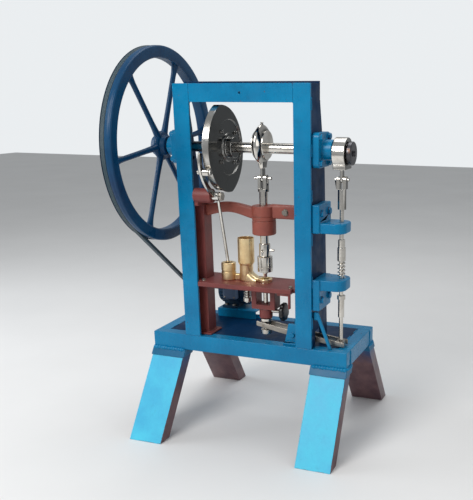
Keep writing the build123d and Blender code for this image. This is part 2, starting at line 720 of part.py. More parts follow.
# ================= feed shoe =================
shoe_bottom = table_top + shoe_lift
mouth_x = ram_x
shoe = rod_along_z(shoe_body_r, shoe_pivot_x, shaft_y, shoe_bottom, hopper_bottom - 8)
shoe += Pos(shoe_pivot_x, shaft_y, hopper_bottom - 4) * Cone(shoe_body_r, hopper_r, 8)
arm_outline = [(shoe_pivot_x, shoe_bottom), (mouth_x, shoe_bottom), (mouth_x, shoe_mouth_top),
               (mouth_x - nut_r - 2, shoe_mouth_top), (shoe_pivot_x, shoe_arm_top)]
shoe += plate_in_xz(arm_outline, shaft_y - shoe_arm_half, shaft_y + shoe_arm_half)
shoe += rod_along_z(shoe_mouth_r, mouth_x, shaft_y, shoe_bottom, shoe_mouth_top)
tail = Pos(tail_reach / 2, 0, shoe_bottom + 9) * Box(tail_reach, 16, 18)
shoe += Pos(shoe_pivot_x, shaft_y, 0) * Rot(0, 0, tail_angle) * tail
shoe -= rod_along_z(shoe_mouth_bore_r, mouth_x, shaft_y, shoe_bottom - 1, shoe_mouth_top + 1)
shoe -= rod_along_z(hopper_r - 12, shoe_pivot_x, shaft_y, hopper_bottom - 30, hopper_bottom + 1)
shoe -= rod_along_z(block_r, socket_x, socket_y, shoe_bottom - 1, block_top + 1)
save("feed_shoe", shoe)
tail_block = rod_along_z(block_r, socket_x, socket_y, shoe_bottom, block_top)
tail_block = chamfer(tail_block.edges().filter_by(GeomType.CIRCLE), 1.5)
groove_low = shoe_bottom + block_groove_z
groove_high = groove_low + block_groove_height
groove = rod_along_z(block_r + 1, socket_x, socket_y, groove_low, groove_high)
groove -= rod_along_z(block_r - block_groove_depth, socket_x, socket_y, groove_low, groove_high)
tail_block -= groove
tail_block -= rod_along_z(socket_r, socket_x, socket_y, block_top - block_socket_depth, block_top + 1)
save("tail_block", tail_block)
hopper = rod_along_z(hopper_r, shoe_pivot_x, shaft_y, hopper_bottom, hopper_top)
hopper -= rod_along_z(hopper_r - hopper_wall, shoe_pivot_x, shaft_y, hopper_bottom + 2, hopper_top + 1)
hopper -= rod_along_z(hopper_r - 12, shoe_pivot_x, shaft_y, hopper_bottom - 1, hopper_bottom + 3)
save("hopper", hopper)
stud_bottom = table_bottom - 56
stud = rod_along_z(stud_r, shoe_pivot_x, shaft_y, stud_bottom, shoe_bottom)
stud_nut = rod_along_z(12, shoe_pivot_x, shaft_y, stud_bottom + 4, stud_bottom + 16)
shoe_spring = coil_along_z(shoe_spring_r, shoe_spring_wire_r, shoe_pivot_x, shaft_y, stud_bottom + 16.2,
                           table_bottom - clear_gap, shoe_spring_turns)
save("shoe_stud", stud + stud_nut, shoe_spring)

# ================= lower punch =================
bar_slope_left = lift_left_rise / (lift_pivot_x - ram_x)
bar_z_at_ram = lift_pivot_z + lift_left_rise
collar_bottom = bar_z_at_ram + lift_bar_height / 2 + bar_slope_left * stem_collar_r + 0.5
stem = rod_along_z(stem_r, ram_x, shaft_y, stem_bottom, table_bottom - 2)
stem += rod_along_z(stem_collar_r, ram_x, shaft_y, collar_bottom, collar_bottom + stem_collar_height)
stem += rod_along_z(punch_r, ram_x, shaft_y, table_bottom - 2, table_top - lower_tip_depth)
lower_nut_top = bar_z_at_ram - lift_bar_height / 2 - 9
lower_nut = rod_along_z(stem_collar_r - 1, ram_x, shaft_y, lower_nut_top - 13, lower_nut_top)
save("lower_punch", stem + lower_nut)

# ================= lift lever =================
right_reach = ejector_x - lift_pivot_x
bar_left = ram_x - 24
bar_right = ejector_x + 16
left_z = lift_pivot_z + bar_slope_left * (lift_pivot_x - bar_left)
right_z = lift_pivot_z - lift_right_drop * (bar_right - lift_pivot_x) / right_reach
half_height = lift_bar_height / 2
bar_outline = [(bar_left, left_z - half_height), (lift_pivot_x, lift_pivot_z - half_height - 2),
               (bar_right, right_z - half_height), (bar_right, right_z + half_height),
               (lift_pivot_x, lift_pivot_z + half_height + 2), (bar_left, left_z + half_height)]
bars = []
for side in (-1, 1):
    near = shaft_y + side * lift_bar_gap / 2
    far = near + side * lift_bar_thickness
    bar = plate_in_xz(bar_outline, min(near, far), max(near, far))
    bars.append(bar - rod_along_y(lift_pin_r + running_gap, lift_pivot_x, near - 20, near + 20, lift_pivot_z))
end_z = lift_pivot_z - lift_right_drop
pad_half = lift_bar_gap / 2
pad = block(ejector_x - 12, ejector_x + 12, shaft_y - pad_half, shaft_y + pad_half, end_z - 6, end_z + 7)
save("lift_lever", bars[0] + bars[1] + pad)
cheek_gap = pad_half + lift_bar_thickness + 2
cheek = 8.0
foot_x = 26.0
u_bracket = block(lift_pivot_x - foot_x, lift_pivot_x + foot_x, shaft_y - cheek_gap - cheek - 14,
                  shaft_y + cheek_gap + cheek, base_top, base_top + 6)
for side in (-1, 1):
    near = shaft_y + side * cheek_gap
    far = near + side * cheek
    profile = [(lift_pivot_x - foot_x, base_top), (lift_pivot_x + foot_x, base_top),
               (lift_pivot_x + 13, lift_pivot_z + 34), (lift_pivot_x - 13, lift_pivot_z + 34)]
    u_bracket += plate_in_xz(profile, min(near, far), max(near, far))
pin_front = shaft_y - cheek_gap - cheek
pin_back = shaft_y + cheek_gap + cheek
u_bracket += rod_along_y(lift_pin_r, lift_pivot_x, pin_front - 5, pin_back + 5, lift_pivot_z)
save("lift_lever_bracket", u_bracket)

# ================= ejector rod and brackets =================
ejector_pin_z = ejector_centre_z - ejector_centres
ejector_shoulder_z = ejector_pin_z + ejector_cheek_r + 2 * ejector_throw + neck_gap
save("ejector_strap", strap(ejector_x, ejector_centre_z, ejector_strap_r, ejector_strap_bore_r,
                            ejector_strap_width, ejector_centres, ejector_blade_r, ejector_neck_half,
                            ejector_strap_width / 2, ejector_shoulder_z))
ejector_slot_bottom = ejector_pin_z - ejector_blade_r - 2 * ejector_throw - 1
fork_bottom = ejector_slot_bottom - 56
ejector_fork = fork(ejector_x, ejector_pin_z, ejector_cheek_r, ejector_fork_width, ejector_slot_bottom,
                    fork_bottom, ejector_collar_r)
save("ejector_fork", ejector_fork,
     *fork_screws(ejector_x, ejector_pin_z, ejector_cheek_r, ejector_fork_width, ejector_screw_reach))
pad_top = end_z + 7
rod_bottom = pad_top + rod_foot_gap
ejector_rod = rod_along_z(rod_r, ejector_x, shaft_y, rod_bottom, fork_bottom)
save("ejector_rod", ejector_rod)
travel = 2 * ejector_throw


def sleeve(r, z0, z1):
    solid = rod_along_z(r, ejector_x, shaft_y, z0, z1)
    return solid - rod_along_z(rod_r, ejector_x, shaft_y, z0 - 1, z1 + 1)


upper_sleeve_top = upper_arm_bottom - travel - 4
collar_top = lower_arm_top + stop_collar_top
collar_low = lower_arm_top + stop_collar_low
save("rod_stop_collar", sleeve(stop_collar_r, collar_low, collar_top)
     + sleeve(upper_sleeve_r, collar_top, upper_sleeve_top))
rod_spring = coil_along_z(rod_spring_r, rod_spring_wire_r, ejector_x, shaft_y, lower_arm_top + clear_gap,
                          collar_low - clear_gap, rod_spring_turns)
save("rod_spring", rod_spring)
lower_collar_top = lower_arm_bottom - travel - 3
lower_collar_low = lower_collar_top - lower_collar_height
lower_sleeve = sleeve(stop_collar_r, lower_collar_low, lower_collar_top)
save("rod_lower_sleeve", lower_sleeve + sleeve(lower_sleeve_r, lower_collar_low - lower_sleeve_length,
                                               lower_collar_low))

arm_front = shaft_y - bracket_depth / 2
arm_back = shaft_y + bracket_depth / 2
arm_tip = frame_right + bracket_reach


def bracket(arm_z0, arm_z1, riser_z0, riser_z1, bolt_z):
    riser = block(frame_right, frame_right + bracket_riser, arm_front - 6, arm_back + 6, riser_z0, riser_z1)
    arm_solid = block(frame_right, arm_tip, arm_front, arm_back, arm_z0, arm_z1)
    tip_edges = arm_solid.edges().filter_by(Axis.Z).sort_by(Axis.X)[-2:]
    arm_solid = fillet(tip_edges, bracket_tip_r)
    solid = riser + arm_solid - rod_along_z(rod_r + running_gap, ejector_x, shaft_y, arm_z0 - 1, arm_z1 + 1)
    for y in (shaft_y - bracket_bolt_half, shaft_y + bracket_bolt_half):
        solid -= rod_along_x(bracket_bolt_r, frame_right - 1, frame_right + bracket_riser + 1, y, bolt_z)
    return solid


upper_bolt_z = (upper_arm_top + upper_riser_top) / 2
lower_bolt_z = (lower_riser_bottom + lower_arm_bottom) / 2
upper_bracket = bracket(upper_arm_bottom, upper_arm_top, upper_arm_bottom, upper_riser_top, upper_bolt_z)
save("upper_rod_bracket", upper_bracket)
lower_bracket = bracket(lower_arm_bottom, lower_arm_top, lower_riser_bottom, lower_arm_top, lower_bolt_z)
bracket_places = [(y, z) for y in (shaft_y - bracket_bolt_half, shaft_y + bracket_bolt_half)
                  for z in (upper_bolt_z, lower_bolt_z)]
bracket_bolts = bolts_along_x(bracket_bolt_r, bracket_head_r, bolt_head, bracket_riser + plate_thickness,
                              frame_right + bracket_riser, 1, bracket_places)
save("frame_bolts", *bearing_bolts, *bracket_bolts)
for y, z in bracket_places:
    right_plate -= rod_along_x(bracket_bolt_r, inner_right - 1, frame_right + 1, y, z)
save("left_side_plate", left_plate)
save("right_side_plate", right_plate)
strut_top = (frame_right + 3, lower_riser_bottom - 6)
strut_foot = (frame_right + 46, base_top)
strut_outline = [strut_top, (strut_top[0] + strut_width, strut_top[1]),
                 (strut_foot[0] + strut_foot_width, strut_foot[1]), strut_foot]
strut = plate_in_xz(strut_outline, arm_front + 2, arm_front + 10)
strut += block(frame_right, frame_right + 15, arm_front + 2, arm_front + 10, lower_riser_bottom - 30,
               lower_riser_bottom - 6)
save("lower_rod_bracket", lower_bracket + strut)

# ================= motor and belt =================
motor_left = motor_right - motor_length
motor_shell_right = motor_right - fan_cover_length
motor_base_front = motor_y - motor_base_half
motor_base_back = motor_y + motor_base_half
motor_base_top = base_top + motor_base_height
motor_base = block(motor_left, motor_base_right, motor_base_front, motor_base_back, base_top, motor_base_top)
motor_base -= block(motor_left - 1, motor_base_right + 1, motor_base_front + motor_base_wall,
                    motor_base_back - motor_base_wall, base_top - 1, motor_base_top - motor_base_wall)
save("motor_plate", motor_base)
motor_core_r = motor_r - rib_height
motor = rod_along_x(motor_core_r, motor_left, motor_shell_right, motor_y, motor_z)
rib_length = motor_length - fan_cover_length - 2 * rib_end
for i in range(rib_count):
    angle = i * 360 / rib_count
    rib = Rot(angle, 0, 0) * (Pos(0, 0, motor_core_r) * Box(rib_length, rib_width, 2 * rib_height))
    motor += Pos((motor_left + motor_shell_right) / 2, motor_y, motor_z) * rib
foot_left = motor_left + motor_foot_inset
foot_right = motor_shell_right - motor_foot_inset
motor_feet = block(foot_left, foot_right, motor_y - motor_foot_half, motor_y + motor_foot_half,
                   motor_base_top, motor_base_top + motor_foot_thickness)
motor_feet += block(foot_left, foot_right, motor_y - motor_web_half, motor_y + motor_web_half,
                    motor_base_top, motor_z - motor_r / 2)
motor_feet -= rod_along_x(motor_core_r, motor_left, motor_right, motor_y, motor_z)
save("motor_body", motor + motor_feet)
fan_cover = rod_along_x(motor_r, motor_shell_right, motor_right, motor_y, motor_z)
fan_cover = fillet(fan_cover.faces().sort_by(Axis.X)[-1].edges(), fan_cover_round)
save("motor_fan_cover", fan_cover)
terminal_box_back = motor_y - motor_r + rib_height
terminal_box = block(terminal_box_left, terminal_box_right, terminal_box_back - terminal_box_depth,
                     terminal_box_back, terminal_box_bottom, terminal_box_top)
terminal_box -= rod_along_x(motor_r + running_gap, motor_left, motor_right, motor_y, motor_z)
save("motor_terminal_box", terminal_box)
pulley_left = belt_x - pulley_width / 2
pulley_right = belt_x + pulley_width / 2
pulley_floor = pulley_r - belt_height - groove_spare
pulley = rod_along_x(pulley_r, pulley_left, pulley_right, motor_y, motor_z)
pulley_slot = rod_along_x(pulley_r + 1, groove_left, groove_right, motor_y, motor_z)
pulley_slot -= rod_along_x(pulley_floor, groove_left, groove_right, motor_y, motor_z)
pulley -= pulley_slot
pulley += rod_along_x(motor_shaft_r, pulley_left - 4, motor_left - clear_gap, motor_y, motor_z)
save("motor_pulley", pulley)

span_y = motor_y - shaft_y
span_z = motor_z - shaft_z
span = hypot(span_y, span_z)


def belt_outline(big_r, small_r, x0, x1):
    lean = asin((big_r - small_r) / span)
    line = atan2(span_z, span_y)
    corners = []
    for side in (1, -1):
        normal = line + side * (radians(90) - lean)
        tangent_big = (shaft_y + big_r * cos(normal), shaft_z + big_r * sin(normal))
        tangent_small = (motor_y + small_r * cos(normal), motor_z + small_r * sin(normal))
        corners.append((tangent_big, tangent_small))
    loop = [corners[0][0], corners[0][1], corners[1][1], corners[1][0]]
    solid = plate_in_yz(loop, x0, x1)
    solid += rod_along_x(big_r, x0, x1, shaft_y, shaft_z)
    return solid + rod_along_x(small_r, x0, x1, motor_y, motor_z)


belt_inner_big = groove_floor + belt_gap
belt_inner_small = pulley_floor + belt_gap
belt_left = belt_x - belt_width / 2
belt_right = belt_x + belt_width / 2
belt = belt_outline(belt_inner_big + belt_height, belt_inner_small + belt_height, belt_left, belt_right)
belt -= belt_outline(belt_inner_big, belt_inner_small, belt_left - 1, belt_right + 1)
save("drive_belt", belt)
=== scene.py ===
import json
from math import cos, pi, radians, sin
import bmesh
import bpy
import numpy as np
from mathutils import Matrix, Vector

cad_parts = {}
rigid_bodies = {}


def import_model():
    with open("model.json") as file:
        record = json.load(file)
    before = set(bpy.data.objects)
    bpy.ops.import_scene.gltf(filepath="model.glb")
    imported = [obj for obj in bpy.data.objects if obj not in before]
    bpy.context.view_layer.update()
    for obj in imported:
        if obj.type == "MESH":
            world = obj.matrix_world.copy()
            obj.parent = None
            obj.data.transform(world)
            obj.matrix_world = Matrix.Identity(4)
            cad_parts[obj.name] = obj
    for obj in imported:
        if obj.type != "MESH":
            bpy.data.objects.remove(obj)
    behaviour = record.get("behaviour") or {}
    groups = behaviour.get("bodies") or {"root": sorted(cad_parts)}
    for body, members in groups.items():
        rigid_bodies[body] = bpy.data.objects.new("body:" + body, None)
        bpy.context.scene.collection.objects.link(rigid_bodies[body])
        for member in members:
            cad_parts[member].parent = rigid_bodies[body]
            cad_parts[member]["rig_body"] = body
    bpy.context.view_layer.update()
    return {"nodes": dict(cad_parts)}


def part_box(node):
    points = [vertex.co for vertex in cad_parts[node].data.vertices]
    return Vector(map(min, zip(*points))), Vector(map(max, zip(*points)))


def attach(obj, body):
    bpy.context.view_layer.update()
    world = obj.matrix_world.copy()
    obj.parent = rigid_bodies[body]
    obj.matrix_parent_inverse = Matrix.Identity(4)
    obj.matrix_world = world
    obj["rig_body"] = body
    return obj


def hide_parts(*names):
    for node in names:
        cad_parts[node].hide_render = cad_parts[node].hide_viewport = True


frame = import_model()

# ---- Studio ----
# A pale floor, one large soft light overhead in front, a weaker one from each side and a pale surround,
# which is dimmer in reflections than to the eye, so that bare steel keeps its dark tones.
# The camera stands in front and to the right of the press, a little above its shaft.
scene = bpy.context.scene
scene.view_settings.view_transform = "Standard"
camera = bpy.data.objects.new("camera", bpy.data.cameras.new("camera"))
scene.collection.objects.link(camera)
scene.camera = camera
camera.location = (0.9116, -1.9724, 1.0068)
camera.rotation_euler = (radians(73.39), radians(-0.12), radians(19.36))
camera.data.lens = 52.3
camera.data.sensor_width = 36.0
camera.data.shift_x = -0.1807
camera.data.shift_y = 0.1253


def soft_light(name, place, target, size, watts, colour):
    lamp = bpy.data.lights.new(name, "AREA")
    lamp.shape = "DISK"
    lamp.size = size
    lamp.energy = watts
    lamp.color = colour
    holder = bpy.data.objects.new(name, lamp)
    holder.location = place
    holder.rotation_euler = (Vector(target) - Vector(place)).to_track_quat("-Z", "Y").to_euler()
    scene.collection.objects.link(holder)


soft_light("front_light", (-0.9, -2.6, 2.7), (0, 0, 0.4), 1.8, 74, (1.0, 0.98, 0.95))
soft_light("left_light", (-2.8, -0.4, 1.5), (0, 0, 0.6), 1.6, 26, (0.92, 0.96, 1.0))
soft_light("right_light", (2.8, -0.8, 1.3), (0, 0, 0.6), 1.4, 6, (1.0, 0.97, 0.93))
soft_light("top_light", (0.2, 0.9, 3.2), (0, 0, 0.5), 2.4, 30, (1.0, 1.0, 1.0))
surround = bpy.data.worlds.new("surround")
scene.world = surround
surround.use_nodes = True
sky = surround.node_tree.nodes["Background"]
sky.inputs["Color"].default_value = (0.92, 0.95, 0.97, 1.0)
seen = surround.node_tree.nodes.new("ShaderNodeLightPath").outputs["Is Camera Ray"]
brightness = surround.node_tree.nodes.new("ShaderNodeMapRange")
brightness.inputs["To Min"].default_value = 0.42
brightness.inputs["To Max"].default_value = 0.90
surround.node_tree.links.new(seen, brightness.inputs["Value"])
surround.node_tree.links.new(brightness.outputs["Result"], sky.inputs["Strength"])


def add(tree, kind, **settings):
    """A shader node. A setting named like a socket is its value or the link that feeds it; any other is a
    property."""
    made = tree.nodes.new("ShaderNode" + kind)
    for key, value in settings.items():
        sockets = [s for s in made.inputs if s.enabled and s.name.replace(" ", "_") == key]
        if not sockets:
            setattr(made, key, value)
        elif isinstance(value, bpy.types.NodeSocket):
            tree.links.new(value, sockets[0])
        else:
            sockets[0].default_value = value
    return made


def new_finish(name):
    finish = bpy.data.materials.new(name)
    finish.use_nodes = True
    tree = finish.node_tree
    position = add(tree, "TexCoord").outputs["Object"]
    return finish, tree, tree.nodes["Principled BSDF"], position


def ramp(tree, level, *stops):
    """Turns a level into a grey or a colour through stops of (place, colour)."""
    made = add(tree, "ValToRGB", Fac=level)
    for i, (place, colour) in enumerate(stops):
        stop = made.color_ramp.elements[i] if i < 2 else made.color_ramp.elements.new(place)
        stop.position = place
        stop.color = (*colour, 1.0) if isinstance(colour, tuple) else (colour, colour, colour, 1.0)
    return made.outputs["Color"]


def noise(tree, position, scale, detail=4.0, roughness=0.55, stretch=None):
    if stretch:
        position = add(tree, "Mapping", Vector=position, Scale=stretch).outputs["Vector"]
    return add(tree, "TexNoise", Vector=position, Scale=scale, Detail=detail,
               Roughness=roughness).outputs["Fac"]


def mixed(tree, share, first, second, blend="MIX"):
    made = add(tree, "Mix", data_type="RGBA", blend_type=blend)
    for socket, value in zip((made.inputs[0], made.inputs[6], made.inputs[7]), (share, first, second)):
        if isinstance(value, bpy.types.NodeSocket):
            tree.links.new(value, socket)
        else:
            socket.default_value = (*value, 1.0) if isinstance(value, tuple) else value
    return made.outputs[2]


def maths(tree, operation, first, second=0.0):
    made = add(tree, "Math", operation=operation)
    for socket, value in zip(made.inputs, (first, second)):
        if isinstance(value, bpy.types.NodeSocket):
            tree.links.new(value, socket)
        else:
            socket.default_value = value
    return made.outputs[0]


def link(tree, source, target):
    tree.links.new(source, target)


def bumped(tree, shader, height, depth, strength=1.0):
    made = add(tree, "Bump", Height=height, Distance=depth, Strength=strength)
    link(tree, made.outputs["Normal"], shader.inputs["Normal"])


floor_finish, tree, shader, position = new_finish("studio_floor")
shade = ramp(tree, noise(tree, position, 1.5), (0.3, 0.76), (0.7, 0.80))
link(tree, shade, shader.inputs["Base Color"])
shader.inputs["Roughness"].default_value = 0.6
reach = np.linspace(-9.0, 9.0, 13)
floor_points = np.stack([*np.meshgrid(reach, reach), np.zeros((13, 13))], axis=-1).reshape(-1, 3)
cells = np.arange(169).reshape(13, 13)
floor_faces = np.stack([cells[:-1, :-1], cells[:-1, 1:], cells[1:, 1:], cells[1:, :-1]],
                       axis=-1).reshape(-1, 4)
floor_mesh = bpy.data.meshes.new("studio_floor")
floor_mesh.from_pydata(floor_points.tolist(), [], floor_faces.tolist())
floor_mesh.materials.append(floor_finish)
studio_floor = bpy.data.objects.new("studio_floor", floor_mesh)
scene.collection.objects.link(studio_floor)


# ---- Stand rails and deck ----
# Folded steel channels, welded into a tray with a sheet deck and brushed with blue gloss enamel over red
# primer.
# Their edges are rounded by the folding; the enamel is thin there and has chipped to the primer in places.
rail_edge = 0.0022
bead_r = 0.0034
enamel_blue = (0.001, 0.210, 0.42)
enamel_deep = (0.001, 0.135, 0.30)
# The two darker blues below paint shade on the side plates, top cover and deck.
navy_blue_painted_shade = (0.001, 0.030, 0.092)
navy_deep_painted_shade = (0.001, 0.016, 0.055)
primer_brown = (0.105, 0.034, 0.030)


def edge_wear(tree, reach, patchy):
    """How worn a point is: high where the surface turns within the reach and a patchy noise is high too."""
    turned_normal = add(tree, "Bevel", Radius=reach, samples=4).outputs["Normal"]
    flat_normal = add(tree, "NewGeometry").outputs["Normal"]
    likeness = add(tree, "VectorMath", operation="DOT_PRODUCT")
    link(tree, turned_normal, likeness.inputs[0])
    link(tree, flat_normal, likeness.inputs[1])
    turn = maths(tree, "SUBTRACT", 1.0, likeness.outputs["Value"])
    return maths(tree, "MULTIPLY", maths(tree, "MULTIPLY", turn, 7.0), patchy)


def enamel(name, colour, deep, under=primer_brown, gloss=0.26, wear=1.0, specks=0.8, shine=0.26):
    """Brushed enamel: broad tone drift, brush lines, fine peel, grime in the low tones and chips at the
    edges."""
    finish, tree, shader, position = new_finish(name)
    broad = noise(tree, position, 6.0, 5.0, 0.6)
    strokes = noise(tree, position, 14.0, 3.0, 0.5, (9.0, 9.0, 0.9))
    tone = mixed(tree, ramp(tree, broad, (0.34, 0.0), (0.66, 1.0)), deep, colour)
    tone = mixed(tree, maths(tree, "MULTIPLY", strokes, 0.22), tone, tuple(c * 1.35 for c in colour))
    smut = ramp(tree, noise(tree, position, 3.1, 8.0, 0.7), (0.56, 0.0), (0.78, 0.55))
    tone = mixed(tree, smut, tone, tuple(c * 0.4 + 0.006 for c in deep))
    patchy = ramp(tree, noise(tree, position, 42.0, 5.0, 0.65), (0.50, 0.0), (0.62, 1.0))
    worn = ramp(tree, edge_wear(tree, 0.0026, patchy), (0.25, 0.0), (0.55, wear))
    spots = ramp(tree, noise(tree, position, 95.0, 3.0, 0.5), (0.725, 0.0), (0.745, specks))
    bare = maths(tree, "MAXIMUM", worn, spots)
    link(tree, mixed(tree, bare, tone, under), shader.inputs["Base Color"])
    sheen = ramp(tree, noise(tree, position, 22.0, 4.0), (0.3, gloss * 0.75), (0.7, gloss * 1.5))
    link(tree, maths(tree, "ADD", sheen, maths(tree, "MULTIPLY", bare, 0.35)), shader.inputs["Roughness"])
    peel = maths(tree, "ADD", maths(tree, "MULTIPLY", noise(tree, position, 210.0, 2.0), 0.35), strokes)
    bumped(tree, shader, maths(tree, "SUBTRACT", peel, maths(tree, "MULTIPLY", bare, 0.5)), 0.0006, 0.55)
    shader.inputs["Specular IOR Level"].default_value = shine
    return finish


def place(name, mesh, finish, body, crease=38.0, slot=None):
    """Puts a finished mesh at the origin, gives it its finish and lets it ride on its body."""
    mesh.materials.clear()
    mesh.materials.append(finish)
    mesh.shade_smooth()
    mesh.set_sharp_from_angle(angle=radians(crease))
    piece = bpy.data.objects.new(name, mesh)
    scene.collection.objects.link(piece)
    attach(piece, body)
    return piece


def softened(node, finish, edge, rounds=2, clamp=False):
    """The CAD node's shape with its edges rounded over by the edge width; it stands for the node."""
    source = frame["nodes"][node]
    mesh = source.data.copy()
    mesh.name = node + "_finished"
    shell = bmesh.new()
    shell.from_mesh(mesh)
    bmesh.ops.remove_doubles(shell, verts=shell.verts, dist=1e-6)
    bmesh.ops.dissolve_limit(shell, angle_limit=radians(0.6), verts=shell.verts, edges=shell.edges)
    shell.to_mesh(mesh)
    shell.free()
    piece = place(node + "_finished", mesh, finish, source["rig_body"])
    bevel = piece.modifiers.new("edge", "BEVEL")
    bevel.width = edge
    bevel.segments = rounds
    bevel.limit_method = "ANGLE"
    bevel.angle_limit = radians(38)
    bevel.use_clamp_overlap = clamp
    bevel.harden_normals = True
    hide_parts(node)
    return piece


def surface(name, grids, finish, body, looped=False, crease=38.0, slot=None):
    """A skin over each grid of closed rings. A looped grid joins its last ring to its first; any other is
    capped."""
    points, faces, base = [], [], 0
    for grid in grids:
        rows, around = grid.shape[:2]
        index = base + np.arange(rows * around).reshape(rows, around)
        rings = np.vstack([index, index[:1]]) if looped else index
        near, far = rings[:-1], rings[1:]
        faces += np.stack([near, np.roll(near, -1, 1), np.roll(far, -1, 1), far], -1).reshape(-1, 4).tolist()
        points.append(grid.reshape(-1, 3))
        base += rows * around
        if not looped:
            points.append(np.stack([grid[0].mean(0), grid[-1].mean(0)]))
            for ring, middle in ((index[0], base), (index[-1], base + 1)):
                faces += np.stack([ring, np.roll(ring, -1), np.full(around, middle)], -1).tolist()
            base += 2
    mesh = bpy.data.meshes.new(name)
    mesh.from_pydata(np.vstack(points).tolist(), [], faces)
    shell = bmesh.new()
    shell.from_mesh(mesh)
    bmesh.ops.remove_doubles(shell, verts=shell.verts, dist=1e-7)
    bmesh.ops.recalc_face_normals(shell, faces=shell.faces)
    shell.to_mesh(mesh)
    shell.free()
    return place(name, mesh, finish, body, crease, slot)


def bead(path, r, wave=0.0042):
    """A weld bead: a round section along the path, whose radius rises and falls once for each puddle of the
    weld."""
    path = np.array(path, float)
    steps = np.linalg.norm(np.diff(path, axis=0), axis=1)
    run = np.concatenate([[0.0], np.cumsum(steps)])
    s = np.linspace(0.0, run[-1], max(12, int(run[-1] / wave * 5)))
    line = np.stack([np.interp(s, run, path[:, k]) for k in range(3)], axis=1)
    along = np.gradient(line, axis=0)
    along /= np.linalg.norm(along, axis=1, keepdims=True)
    side = np.cross(along, (0.31, 0.52, 0.79))
    side /= np.linalg.norm(side, axis=1, keepdims=True)
    lift = np.cross(side, along)
    ends = np.clip(np.minimum(s, run[-1] - s) / r, 0.15, 1.0) ** 0.5
    swell = r * ends * (1.0 + 0.16 * np.sin(2 * pi * s / wave) + 0.10 * np.sin(2 * pi * s / 0.031))
    turn = np.linspace(0, 2 * pi, 10, endpoint=False)
    ring = np.cos(turn)[None, :, None] * side[:, None] + np.sin(turn)[None, :, None] * lift[:, None]
    return line[:, None] + swell[:, None, None] * ring


frame_enamel = enamel("frame_enamel", enamel_blue, enamel_deep)
# A darker blue enamel that stands for the shade on the side plates, top cover and deck: painted shade.
navy_enamel = enamel("navy_enamel", navy_blue_painted_shade, navy_deep_painted_shade, gloss=0.36, wear=0.5, specks=0.15, shine=0.10)
for node in ("base_front_rail", "base_rear_rail", "base_end_rails"):
    softened(node, frame_enamel, rail_edge)
# The deck takes the darker blue of painted shade too.
softened("deck_plate", navy_enamel, 0.0006, 1)
rail_low, rail_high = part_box("base_front_rail")
rear_low, rear_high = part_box("base_rear_rail")
corner_beads = []
for x in (rail_low.x, rail_high.x):
    for y in (rail_high.y, rear_low.y):
        corner_beads.append(bead([(x, y, rail_low.z + 0.004), (x, y, rail_high.z - 0.002)], bead_r * 0.8))
deck_low, deck_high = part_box("deck_plate")
for x in (deck_low.x, deck_high.x):
    for k in range(3):
        y = deck_low.y + (0.16 + 0.34 * k) * (deck_high.y - deck_low.y)
        corner_beads.append(bead([(x, y - 0.016, deck_high.z), (x, y + 0.016, deck_high.z)], bead_r * 0.6))
surface("rail_welds", corner_beads, frame_enamel, "frame", crease=60, slot="frame_paint")

# ---- Legs ----
# Four splayed legs of rectangular steel tube, each welded to the rails inside a short collar.
# The outer faces have a full coat of light blue, lighter than the frame's as painted light on their upturned
# faces; the sides got little more than primer.
leg_blue_painted_light = (0.060, 0.41, 0.68)
leg_sky_painted_light = (0.075, 0.55, 0.78)


def leg_enamel():
    """Light blue, lightened as painted light, on faces that look outwards along Y, drifting to brown primer
    on the flanges and inside.
    """
    finish, tree, shader, position = new_finish("leg_enamel")
    broad = noise(tree, position, 9.0, 5.0, 0.6)
    strokes = noise(tree, position, 11.0, 4.0, 0.55, (10.0, 10.0, 1.0))
    # Both blues are lighter than the frame enamel and stand for light on the upturned faces: painted light.
    coat = mixed(tree, ramp(tree, broad, (0.36, 0.0), (0.64, 1.0)), leg_blue_painted_light, leg_sky_painted_light)
    coat = mixed(tree, maths(tree, "MULTIPLY", strokes, 0.35), coat, (0.08, 0.64, 0.84))
    grime = ramp(tree, noise(tree, position, 26.0, 8.0, 0.7), (0.60, 0.0), (0.76, 0.35))
    coat = mixed(tree, grime, coat, (0.03, 0.22, 0.38))
    facing = add(tree, "SeparateXYZ", Vector=add(tree, "NewGeometry").outputs["True Normal"])
    height = add(tree, "SeparateXYZ", Vector=position)
    shader.inputs["Specular IOR Level"].default_value = 0.22
    outward = maths(tree, "MULTIPLY", facing.outputs["Y"], maths(tree, "SIGN", height.outputs["Y"]))
    web = ramp(tree, outward, (0.45, 0.0), (0.60, 1.0))
    brown = mixed(tree, ramp(tree, noise(tree, position, 13.0, 6.0, 0.65), (0.35, 0.0), (0.65, 1.0)),
                  (0.090, 0.048, 0.062), (0.190, 0.105, 0.112))
    overspray = ramp(tree, maths(tree, "ADD", maths(tree, "MULTIPLY", height.outputs["Z"], 1.6),
                                 maths(tree, "MULTIPLY", broad, 0.5)), (0.48, 0.0), (0.66, 0.85))
    flange = mixed(tree, overspray, brown, (0.005, 0.080, 0.23))
    patchy = ramp(tree, noise(tree, position, 38.0, 5.0, 0.65), (0.48, 0.0), (0.60, 1.0))
    worn = ramp(tree, edge_wear(tree, 0.0034, patchy), (0.2, 0.0), (0.5, 0.9))
    tone = mixed(tree, worn, mixed(tree, web, flange, coat), brown)
    # The leg tops above the collar line take a blue darker than the frame enamel: frame paint, darkened
    # further as painted shade.
    leg_collar_painted_shade = maths(tree, "GREATER_THAN", height.outputs["Z"], 0.2278)
    link(tree, mixed(tree, leg_collar_painted_shade, tone, mixed(tree, broad, (0.0, 0.090, 0.200), (0.0, 0.140, 0.280))),
         shader.inputs["Base Color"])
    link(tree, ramp(tree, broad, (0.3, 0.30), (0.7, 0.46)), shader.inputs["Roughness"])
    bumped(tree, shader,
           maths(tree, "ADD", strokes, maths(tree, "MULTIPLY", noise(tree, position, 180.0), 0.4)),
           0.0007, 0.6)
    return finish


